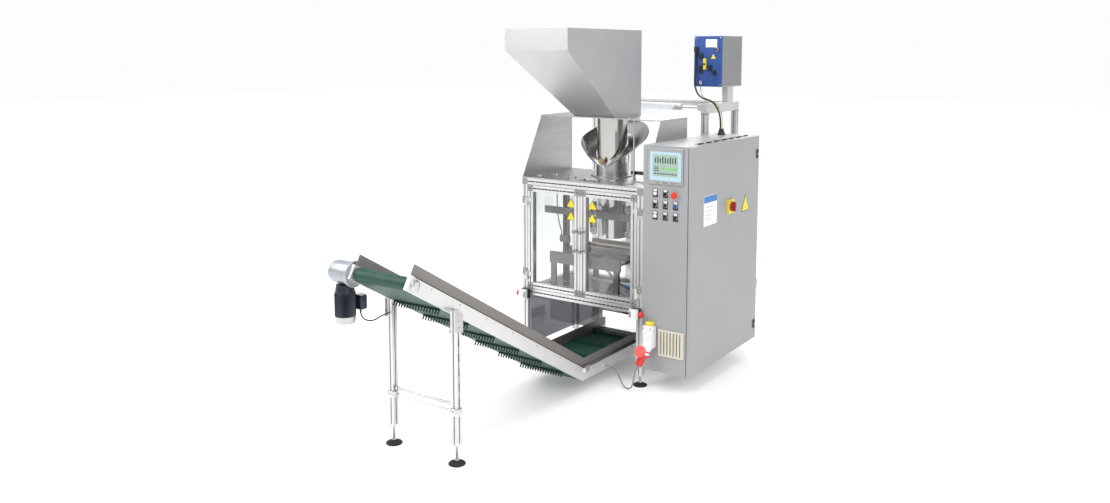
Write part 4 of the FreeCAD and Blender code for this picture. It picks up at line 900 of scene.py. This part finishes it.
class MACHINE_OT_control_panel(bpy.types.Operator):
    """Build the touch panel, the rings, lamps and label frames of the controls"""
    bl_idname = "machine.control_panel"
    bl_label = "Control panel"

    def execute(self, context):
        work = Workpiece()
        for z, tall in ((1391, 26), (1605.5, 21)):
            work.block(inside(660, -5, z), (254, 10, tall), "satin", 2)
        for x in (539.5, 780.5):
            work.block(inside(x, -5, 1499.5), (13, 10, 200), "satin", 2)
        for k in range(3):
            work.block(inside(604 + 56 * k, -9.7, 1391), (34, 1.4, 12), "grey", 0.5)
        for row, z in enumerate((1318, 1244, 1170)):
            for column, x in enumerate((586, 660, 734)):
                stop = row == 0 and column == 2
                if not stop:
                    for dx, dz, wide, tall in ((0, 20.7, 36, 18.6), (0, -17.7, 36, 12.6),
                                               (-14.7, 0, 6.6, 22.8),
                                               (14.7, 0, 6.6, 22.8)):
                        work.block(inside(x + dx, -1.5, z + dz), (wide, 3, tall), "black", 0.5)
                    work.block(inside(x, -3.2, z + 22), (27, 1, 12), "white", 0.4)
                work.turning(inside(x, 0, z), FRONT,
                             [(11.4, 0), (16, 0), (16, 4), (14.5, 6), (11.4, 6), (11.4, 0)],
                             "bright" if not stop else "yellow", 36)
                if (row, column) in ((0, 0), (1, 1), (2, 1)):
                    work.turning(inside(x, 0, z), FRONT, [(0, 0), (11.2, 0), (11.2, 9), (9, 12.4), (0, 13)],
                                 "white" if row == 0 else "black", 32)
        work.done("control_fittings", ROOT, "black_abs", "fascia_fittings")
        panel = Workpiece()
        low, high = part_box("touch_screen")
        middle = (low + high) / 2
        wide, tall = (high.x - low.x) / MM, (high.z - low.z) / MM
        panel.block(middle, (wide - 0.4, 4.6, tall - 0.4), "screen", 0.6)
        front = Vector((middle.x, low.y, middle.z))

        def tile(x, z, w, t, finish, out=0.15):
            panel.block(front + Vector((x, -out, z)) * MM, (w, 0.5, t), finish, 0)

        tile(0, 4, wide * 0.80, tall * 0.74, "page")
        for k, high_bar in enumerate((34, 41, 29, 44, 38, 31, 42, 36, 40)):
            tile(-72 + 18 * k, 28 + high_bar / 4, 9, high_bar, "mark", 0.4)
        tile(26, -16, 116, 13, "band", 0.4)
        for k in range(3):
            tile(-66, -8 - 12 * k, 38, 5, "mark", 0.4)
        for k in range(8):
            tile(-74 + 21 * k, -50, 13, 9, "mark", 0.4)
        panel.done("touch_panel", ROOT, "display_glass", "touch_screen")
        return {"FINISHED"}


class MACHINE_OT_power_inlet(bpy.types.Operator):
    """Mould the angled socket with its yellow cap, and the grille's frame"""
    bl_idname = "machine.power_inlet"
    bl_label = "Power inlet"

    def execute(self, context):
        lean = Vector(SOCKET_LEAN).normalized()
        at = inside(*SOCKET_AT)
        work = Workpiece()
        work.block(inside(567, -31, 367), (76, 62, 150), "white", 7)
        work.block(inside(567, -31, 396), (80, 50, 6), "white", 1)
        work.turning(at, lean,
                     [(0, -20), (30, -20), (36, -6), (37.6, 6), (37.6, 60), (38, 62), (38, 75), (30, 75),
                                (30, 40), (0, 40)], "white", 48)
        work.turning(at, lean, [(38.2, 50), (40, 51), (40, 58), (38.2, 59), (38.2, 50)], "red", 48)
        work.block(inside(567, -20, 453), (52, 40, 21), "yellow", 4)
        for x in (540, 594):
            for z in (306, 428):
                work.bolt(inside(x, -62, z), FRONT, "grey", 10)
        work.done("angled_socket", ROOT, "white_abs", "wall_socket")
        trim = Workpiece()
        for z in (251, 415):
            trim.block(inside(716, -11.2, z), (186, 3, 8), "cream", 1)
        for k in range(8):
            trim.block(inside(632 + 24 * k, -12.4, 333), (7, 2.4, 150), "cream", 0.8)
        for k in range(7):
            trim.block(inside(643 + 23 * k, -3.6, 333), (11, 1, 152), "grey", 0.2)
        trim.done("grille_bars", ROOT, "cream_abs")
        return {"FINISHED"}


class MACHINE_OT_coder(bpy.types.Operator):
    """Build the date coder's case, its punched sides and its blue connector face"""
    bl_idname = "machine.coder"
    bl_label = "Date coder"

    def execute(self, context):
        work = Workpiece()
        work.block(inside(392.5, 1342, 2160), (227, 354, 378), "punched", 2)
        for x in (279, 506):
            for z in (1973, 2347):
                work.block(inside(x, 1342, z), (3, 356, 8), "satin", 0.8)
        work.block(inside(392.5, 1157, 2160), (229, 14, 380), "coder", 3)
        work.block(inside(420, 1149.6, 2296), (92, 1.6, 60), "paper", 0.3)
        corners = [inside(418, 1149, 2180), inside(458, 1149, 2180), inside(438, 1149, 2216)]
        work.slab(corners, (0, 0.0008, 0), "yellow")
        work.block(inside(300, 1136, 2250), (24, 28, 40), "black", 3)
        work.turning(inside(300, 1136, 2230), -UP,
                     [(0, -2), (11, -2), (11, 10), (9, 13), (8, 42), (6.6, 44)],
                     "black", 24)
        for x, z, finish, tall in ((340, 2200, "black", 46), (372, 2140, "yellow", 84),
                                   (414, 2112, "black", 44),
                                   (340, 2100, "black", 60), (452, 2076, "black", 36),
                                   (470, 2250, "grey", 30)):
            work.block(inside(x, 1141, z), (22, 18, tall), finish, 3)
            work.turning(inside(x, 1134, z), FRONT, [(0, 0), (8, 0), (7, 10), (0, 10)], "black", 16)
        work.block(inside(342, 1140, 2002), (24, 20, 24), "bright", 2)
        work.turning(inside(342, 1140, 1992), -UP, [(0, 0), (6, 0), (6, 2), (4, 8), (0, 8)], "bright", 6)
        for x in (290, 495):
            for z in (1984, 2336):
                work.bolt(inside(x, 1150, z), FRONT, "bright", 10)
        work.done("date_coder", ROOT, "blue_enamel", "coder_case")
        return {"FINISHED"}


class MACHINE_OT_belt_and_guards(bpy.types.Operator):
    """Add the flights' fingers, bearings, brackets, bolts and knee parts of the conveyor"""
    bl_idname = "machine.belt_and_guards"
    bl_label = "Conveyor details"

    def execute(self, context):
        sizes = context.scene.machine_sizes
        slope, square = Vector((0, -math.cos(RISE), math.sin(RISE))), Vector((0, math.sin(RISE),
                                                                              math.cos(RISE)))
        knee = inside(CONVEYOR_X, KNEE_Y, BELT_Z)
        tilt = Matrix.Rotation(-RISE, 3, "X")
        fingers = Workpiece()
        finger = sizes.finger / MM
        for along in range(180, 1800, 270):
            for way in (1, -1):
                foot = knee + slope * ((along - 3) * MM) + square * (way * 38 * MM)
                fingers.block(foot + square * (way * 5 * MM), (338, 6, 10), "tooth", 1, tilt)
                for k in range(-8, 9):
                    fingers.block(foot + Vector((k * FINGER_PITCH * MM, 0, 0)) + square * (way * 16 * MM),
                                  (finger, 6, 32),
                                  "tooth", 1, tilt)
        for y in (-120, 150, 420):
            fingers.block(inside(CONVEYOR_X, y + 3, 161), (338, 6, 10), "tooth", 1)
            for k in range(-8, 9):
                fingers.block(inside(CONVEYOR_X + k * FINGER_PITCH, y + 3, 172), (finger, 6, 32), "tooth", 1)
        fingers.done("flight_fingers", ROOT, "green_belt", "belt_flights")
        work = Workpiece()
        for side in (-1, 1):
            face = CONVEYOR_X + side * BEAM_OUT
            top = knee + slope * ROLLER_ALONG * MM
            out = Vector((side, 0, 0))
            for centre in (Vector((inside(face, 0, 0).x, top.y, top.z)), inside(face, 580, BELT_Z)):
                work.turning(centre, out, [(0, 0), (33, 0), (33, 5), (29, 8), (18, 9), (17, 12), (0, 12)]
                             if side > 0 else [(0, 0), (33, 0), (33, 3), (0, 3)], "bright", 36)
            for along in (60, 330, 620, 900, 1180, 1440, 1700):
                bolt_at = Vector((inside(face, 0, 0).x, 0, 0)) + Vector((0, (knee + slope * along * MM).y,
                                                                       (knee + slope * along * MM).z))
                work.bolt(bolt_at + square * 0.022, out)
            for y in (-200, 60, 330, 600):
                work.bolt(inside(face, y, 140), out)
            # painted shadow: black strips along the beam stand for the shaded gap between guard and beam
            seam = knee + slope * (930 * MM) + square * (40 * MM)
            work.block(Vector((inside(face + side * 0.4, 0, 0).x, seam.y, seam.z)), (1.6, 1836, 5),
                       "black", 0.3, tilt)
            work.block(inside(face + side * 0.4, 180, 158), (1.6, 900, 5), "black", 0.3)
            ring = inside(CONVEYOR_X + side * LEG_OUT, LEG_Y, 304)
            work.turning(ring, UP, [(29, -12), (31, -10), (31, 10), (29, 12)], "bright", 32)
            work.bolt(inside(CONVEYOR_X + side * LEG_OUT, -1621, 304), FRONT)
            leg_top = BELT_Z + 1290 * math.tan(RISE) - 20
            plate_x = CONVEYOR_X + side * 258.5
            work.slab([inside(plate_x, -1622, leg_top - 110), inside(plate_x, -1558, leg_top - 130),
                       inside(plate_x, -1558, leg_top - 26), inside(plate_x, LEG_Y, leg_top + 6),
                       inside(plate_x, -1622, leg_top + 12)], (side * 0.004, 0, 0), "satin")
            for dz in (-20, -60, -95):
                work.bolt(inside(plate_x + side * 4, LEG_Y, leg_top + dz), out)
            for z in range(350, 760, 82):
                work.block(inside(CONVEYOR_X + side * 257, LEG_Y, z), (2.4, 8, 40), "black", 0.6)
        brace = [inside(CONVEYOR_X - 214, LEG_Y, 332), inside(CONVEYOR_X + 214, LEG_Y, 332)]
        work.turning(brace[0], ALONG["x"], [(0, 0), (8, 0), (8, 428), (0, 428)], "bright", 24)
        for z in (290, 332):
            for side in (-1, 1):
                work.turning(inside(CONVEYOR_X + side * 214, LEG_Y, z), (-side, 0, 0),
                             [(12, 0), (13, 1), (13, 16), (12, 17)],
                             "bright", 24)
        for side in (-1, 1):
            work.turning(inside(CONVEYOR_X + side * 219, KNEE_Y, 146), (side, 0, 0),
                         [(0, -2), (16, -2), (16, 6), (0, 8)],
                         "white", 32)
            work.block(inside(CONVEYOR_X + side * 219, -262, 150), (5, 60, 44), "satin", 1)
        work.done("conveyor_fittings", ROOT, "satin_steel")
        return {"FINISHED"}


class MACHINE_OT_conveyor_drive(bpy.types.Operator):
    """Build the round gearbox and the finned motor that hangs from it"""
    bl_idname = "machine.conveyor_drive"
    bl_label = "Conveyor drive"

    def execute(self, context):
        roller = inside(-204, KNEE_Y - ROLLER_ALONG * math.cos(RISE), BELT_Z + ROLLER_ALONG * math.sin(RISE))
        out = Vector((-1, 0, 0))
        work = Workpiece()
        work.turning(roller, out, [(16, 0), (70, 0), (72, 2), (72, 19), (69, 22), (16, 22)], "cast", 56)
        for k in range(6):
            angle = math.pi * (k + 0.5) / 3
            at = roller + out * 0.022 + Vector((0, math.cos(angle), math.sin(angle))) * 0.059
            work.bolt(at, out, "bright", 14)

        def ribs(k, radius):
            return radius - (2 if k % 6 == 0 and radius > 57 else 0)

        work.turning(roller, out,
                     [(0, 21), (58, 21), (60, 26), (62, 34), (62, 120), (60, 146), (52, 150), (0, 150)],
                     "cast", 48, ribs)
        work.turning(roller, out,
                     [(0, 149), (50, 149), (50, 163), (44, 168), (20, 168), (18, 165), (0, 165)],
                     "cream", 40)
        for k in range(5):
            angle = 2 * math.pi * k / 5
            work.bolt(roller + out * 0.1675 * 0.98 + Vector((0, math.cos(angle), math.sin(angle))) * 0.036,
                      out)
        work.done("round_gearbox", ROOT, "cast_aluminium", "gearbox")
        motor = Workpiece()
        axis = roller + out * 0.085
        motor.turning(axis, -UP, [(0, 64), (44, 64), (48, 66), (52, 96), (55, 104), (55, 110), (0, 110)],
                      "navy", 40)

        def fins(k, radius):
            return radius if k % 2 else radius - 6

        motor.turning(axis, -UP, [(0, 109), (56, 109), (58, 112), (58, 238), (56, 240), (0, 240)],
                      "navy", 56, fins)
        motor.turning(axis, -UP,
                      [(0, 239), (56, 239), (56, 262), (52, 276), (44, 281), (40, 279), (12, 279), (0, 278)],
                      "satin", 40)
        for k in range(4):
            motor.turning(axis - UP * 0.2788, -UP,
                          [(14 + 7 * k, -0.5), (16.5 + 7 * k, -0.5), (16.5 + 7 * k, 2),
                                                   (14 + 7 * k, 2), (14 + 7 * k, -0.5)], "black", 32)
        box = Vector((axis.x, axis.y, 0)) + Vector((52.5, 65, 0)) * MM
        motor.block(Vector((box.x, box.y, roller.z - 0.170)), (54, 48, 78), "navy", 5)
        motor.block(Vector((box.x, box.y, roller.z - 0.128)), (50, 44, 3), "bright", 1)
        motor.turning(inside(-240, -1811, 838), -UP, [(0, 0), (9, 0), (9, 2), (6, 10), (4.2, 26)], "black",
                      20)
        motor.done("finned_motor", ROOT, "navy_enamel", "conveyor_motor")
        return {"FINISHED"}


class MACHINE_OT_sealing_jaws(bpy.types.Operator):
    """Machine the ribbed jaws on their beams, and build the toothed draw belts"""
    bl_idname = "machine.sealing_jaws"
    bl_label = "Jaws and draw belts"

    def execute(self, context):
        for label, way in (("front", 1), ("rear", -1)):
            low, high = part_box(label + "_jaw")
            inner = high.y if way > 0 else low.y
            work = Workpiece()
            middle = (low.x + high.x) / 2
            z = (low.z + high.z) / 2
            for up in (-1, 1):
                work.block(Vector((middle, inner - way * 0.0225, z + up * 0.0192)), (360, 43, 31), "jaw", 1)
                for k in range(5):
                    work.block(Vector((middle, inner - way * 0.0008, z + up * (0.009 + 0.0055 * k))),
                               (356, 2, 2.6),
                               "jaw", 0.5)
            work.block(Vector((middle, inner - way * 0.040, z)), (352, 9, 60), "satin", 1)
            beam_y = inner - way * 0.065
            work.block(Vector((middle, beam_y, z)), (584, 39.6, 64), "guard", 2)
            for x in (-150, -50, 50, 150):
                for up in (-1, 1):
                    work.bolt(Vector((middle + x * MM, beam_y - way * 0.0198, z + up * 0.018)), (0, -way, 0))
            for x in (-230, 230):
                work.block(Vector((middle + x * MM, inner - way * 0.030, z)), (40, 26, 46), "black", 2)
            if way > 0:
                work.turning(Vector((middle, low.y, z)), ALONG["y"], [(0, 0), (10, 0), (10, 150), (0, 150)],
                             "bright", 24)
            work.done(label + "_ribbed_jaw", label + "_jaw", "jaw_bronze", label + "_jaw")
        for label, side in (("left", -1), ("right", 1)):
            x = side * 145
            work = Workpiece()
            for z in range(952, 1086, 12):
                for edge in (-1, 1):
                    work.block(inside(x + edge * 28, TUBE_Y, z), (5, 43, 7), "silicone", 1)
            loop = []
            for k in range(40):
                angle = 2 * math.pi * k / 40
                centre_z = 1104 if math.sin(angle) >= 0 else 931
                loop.append([inside(x + r * math.cos(angle), y, centre_z + r * math.sin(angle))
                             for r, y in ((26.5, 402), (29.8, 402), (29.8, 444), (26.5, 444), (26.5, 402))])
            work.grid(loop, 0.3, "silicone", closed=True)
            work.block(inside(x, 451, 1017.5), (34, 9, 200), "satin", 2)
            work.block(inside(x, 425, 1017.5), (20, 42, 108), "profile", 2)
            work.block(inside(x, 521, 1142), (32, 112, 114), "satin", 3)
            for z in (931, 1104):
                work.turning(inside(x, 400, z), ALONG["y"], [(0, 2), (7.8, 2), (7.8, 50), (0, 50)],
                             "bright", 24)
            work.turning(inside(x, 402, 931), ALONG["y"],
                         [(8.2, 0), (24, 0), (25.8, 2), (25.8, 40), (24, 42), (8.2, 42),
                                                          (8.2, 0)], "profile", 40)
            work.done(label + "_draw_belt", label + "_draw_unit", "satin_steel", label + "_draw_unit")
        return {"FINISHED"}


class MACHINE_OT_air_unit(bpy.types.Operator):
    """Build the filter, regulator and gauges of the air service unit"""
    bl_idname = "machine.air_unit"
    bl_label = "Air service unit"

    def execute(self, context):
        work = Workpiece()
        x = 615
        work.block(inside(x + 105, 1087, 475), (210, 13.6, 150), "satin", 2)
        for k in range(3):
            work.block(inside(x + 38 + 68 * k, 1129, 515), (56, 69, 89), "cast", 5)
            work.block(inside(x + 38 + 68 * k, 1165, 482), (38, 3, 14), "black", 1)
        for k in (0, 1):
            work.turning(inside(x + 38 + 68 * k, 1129, 330), UP,
                         [(0, 0), (6, 0), (8, 8), (22, 14), (25.6, 30), (25.6, 104), (24, 108), (26, 110),
                          (26, 140)],
                         "black" if k else "clear", 36)
        for k in (1, 2):
            at = inside(x + 38 + 68 * k, 1164, 515)
            work.turning(at, ALONG["y"],
                         [(0, 0), (8, 0), (8, 6), (23, 7), (24, 9), (24, 19), (22.5, 21.6), (21, 19),
                                          (0, 19)], "bright", 40)
            work.turning(at + ALONG["y"] * 0.019, ALONG["y"], [(0, 0), (20.6, 0), (20.6, 0.6), (0, 0.6)],
                         "white", 32)
            work.block(at + Vector((0.005, 0.0203, 0.004)), (2, 0.8, 17), "black", 0.1,
                       Matrix.Rotation(math.radians(40), 3, "Y"))
        work.turning(inside(x + 202, 1129, 515), (1, 0, 0),
                     [(6.6, -15), (6.6, 0), (13, 0), (13, 5), (9, 7), (6.6, 7),
                                                            (6.6, -15)], "bright", 6)
        work.done("air_filter_unit", ROOT, "cast_aluminium", "air_service_unit")
        return {"FINISHED"}


class MACHINE_OT_side_details(bpy.types.Operator):
    """Band the stop boxes, bolt the skirts and add the punched panel, tray edge and film-frame clamps"""
    bl_idname = "machine.side_details"
    bl_label = "Side details"

    def execute(self, context):
        work = Workpiece()
        for side in (-1, 1):
            x = side * 457
            work.block(inside(x, -48, 502), (61.4, 26, 65.4), "white", 2)
            work.block(inside(x - side * 20, -61, 502), (14, 3, 40), "grey", 1)
        work.block(inside(150, 652, 420), (240, 3, 120), "punched", 1)
        for side in (-1, 1):
            for y in (110, 340, 570):
                for z in (140, 500):
                    work.bolt(inside(side * 475, y, z), (side, 0, 0), "black", 10)
        for side in (-1, 1):
            for y in (950.5, 1480.5):
                work.block(inside(side * POST_X, y, 1778), (47, 47, 10), "grey", 1)
            work.bolt(inside(side * 440, 950, 1848), UP)
        work.block(inside(-327, 318, 865), (37.6, 37.6, 640), "black", 1)
        work.turning(inside(-250, 610, 1060), FRONT, [(0, 0), (46, 0), (48, 2), (48, 9), (44, 12), (16, 13),
                                                          (14, 20), (0, 20)], "satin", 40)
        work.done("side_fittings", ROOT, "satin_steel")
        return {"FINISHED"}


class MACHINE_OT_stage(bpy.types.Operator):
    """Lay the pale floor and hang the soft studio lights"""
    bl_idname = "machine.stage"
    bl_label = "Floor and lights"

    def execute(self, context):
        material, tree, shader = shaded("painted_studio_floor", linear("#F4F4F3"), 0.6,
                                         Emission_Strength=0.2, Emission_Color=(1, 1, 1, 1))
        place = add_node(tree, "ShaderNodeTexCoord").outputs["Object"]
        grain = add_node(tree, "ShaderNodeTexNoise", {"Vector": place, "Scale": 60.0}).outputs["Fac"]
        bump = add_node(tree, "ShaderNodeBump", {"Height": grain, "Distance": 0.0002})
        tree.links.new(bump.outputs["Normal"], shader.inputs["Normal"])
        mesh = bpy.data.meshes.new("floor")
        reach = 40
        mesh.from_pydata([(-reach, -reach, 0), (reach, -reach, 0), (reach, reach, 0), (-reach, reach, 0)],
                         [],
                         [(0, 1, 2, 3)])
        mesh.materials.append(material)
        floor = bpy.data.objects.new("floor", mesh)
        bpy.context.scene.collection.objects.link(floor)
        world = bpy.data.worlds.new("studio")
        bpy.context.scene.world = world
        world.use_nodes = True
        tree = world.node_tree
        ground = tree.nodes["Background"]
        upward = add_node(tree, "ShaderNodeSeparateXYZ",
                          {"Vector": add_node(tree, "ShaderNodeTexCoord").outputs["Generated"]}).outputs["Z"]
        sky = add_node(tree, "ShaderNodeMapRange",
                       {"Value": upward, "From Min": -0.1, "From Max": 0.75, "To Min": 0.42, "To Max": 1.05})
        seen = add_node(tree, "ShaderNodeLightPath").outputs["Is Camera Ray"]
        strength = add_node(tree, "ShaderNodeMath", {0: sky.outputs["Result"], 1: seen}, operation="MAXIMUM")
        tree.links.new(strength.outputs["Value"], ground.inputs["Strength"])
        ground.inputs["Color"].default_value = (*linear("#FCFDFE"), 1)
        bpy.context.scene.view_settings.view_transform = "Standard"
        for name, at, size, power in (("key", (-2.8, -4.2, 4.6), 3.0, 150),
                                      ("fill", (4.6, -2.4, 3.4), 2.6, 70),
                                      ("top", (0.2, 0.4, 5.4), 3.4, 80),
                                      ("back", (-1.5, 4.8, 3.6), 2.6, 70)):
            data = bpy.data.lights.new(name, "AREA")
            data.shape = "DISK"
            data.size = size
            data.energy = power
            lamp = bpy.data.objects.new(name, data)
            lamp.location = at
            lamp.rotation_euler = (Vector((0, 0, 1.0)) - Vector(at)).to_track_quat("-Z", "Y").to_euler()
            bpy.context.scene.collection.objects.link(lamp)
        return {"FINISHED"}


STEPS = (MACHINE_OT_camera, MACHINE_OT_cords, MACHINE_OT_frame_finishes, MACHINE_OT_feet,
         MACHINE_OT_door_fittings,
         MACHINE_OT_shoulder, MACHINE_OT_head_fittings, MACHINE_OT_film, MACHINE_OT_cabinet_details,
         MACHINE_OT_control_panel, MACHINE_OT_power_inlet, MACHINE_OT_coder, MACHINE_OT_belt_and_guards,
         MACHINE_OT_conveyor_drive, MACHINE_OT_sealing_jaws, MACHINE_OT_air_unit, MACHINE_OT_side_details,
         MACHINE_OT_stage)


class MACHINE_PT_sidebar(bpy.types.Panel):
    """The machine's sizes, colours and building steps"""
    bl_idname = "MACHINE_PT_sidebar"
    bl_label = "Bagging Machine"
    bl_space_type = "VIEW_3D"
    bl_region_type = "UI"
    bl_category = "Bagging Machine"

    def draw(self, context):
        for group in (context.scene.machine_sizes, context.scene.machine_colours):
            for name in group.bl_rna.properties.keys():
                if name not in ("rna_type", "name"):
                    self.layout.prop(group, name)
        for step in STEPS:
            self.layout.operator(step.bl_idname)


CLASSES = (MachineColours, MachineSizes, *STEPS, MACHINE_PT_sidebar)


def register():
    """Adds the classes and the two groups of settings."""
    for item in CLASSES:
        bpy.utils.register_class(item)
    bpy.types.Scene.machine_colours = bpy.props.PointerProperty(type=MachineColours)
    bpy.types.Scene.machine_sizes = bpy.props.PointerProperty(type=MachineSizes)


def unregister():
    """Takes away what register added."""
    del bpy.types.Scene.machine_sizes
    del bpy.types.Scene.machine_colours
    for item in reversed(CLASSES):
        bpy.utils.unregister_class(item)


def main():
    """Builds every operator in turn."""
    register()
    make_finishes()
    for step in STEPS:
        group, name = step.bl_idname.split(".")
        getattr(getattr(bpy.ops, group), name)()


if __name__ == "__main__":
    main()
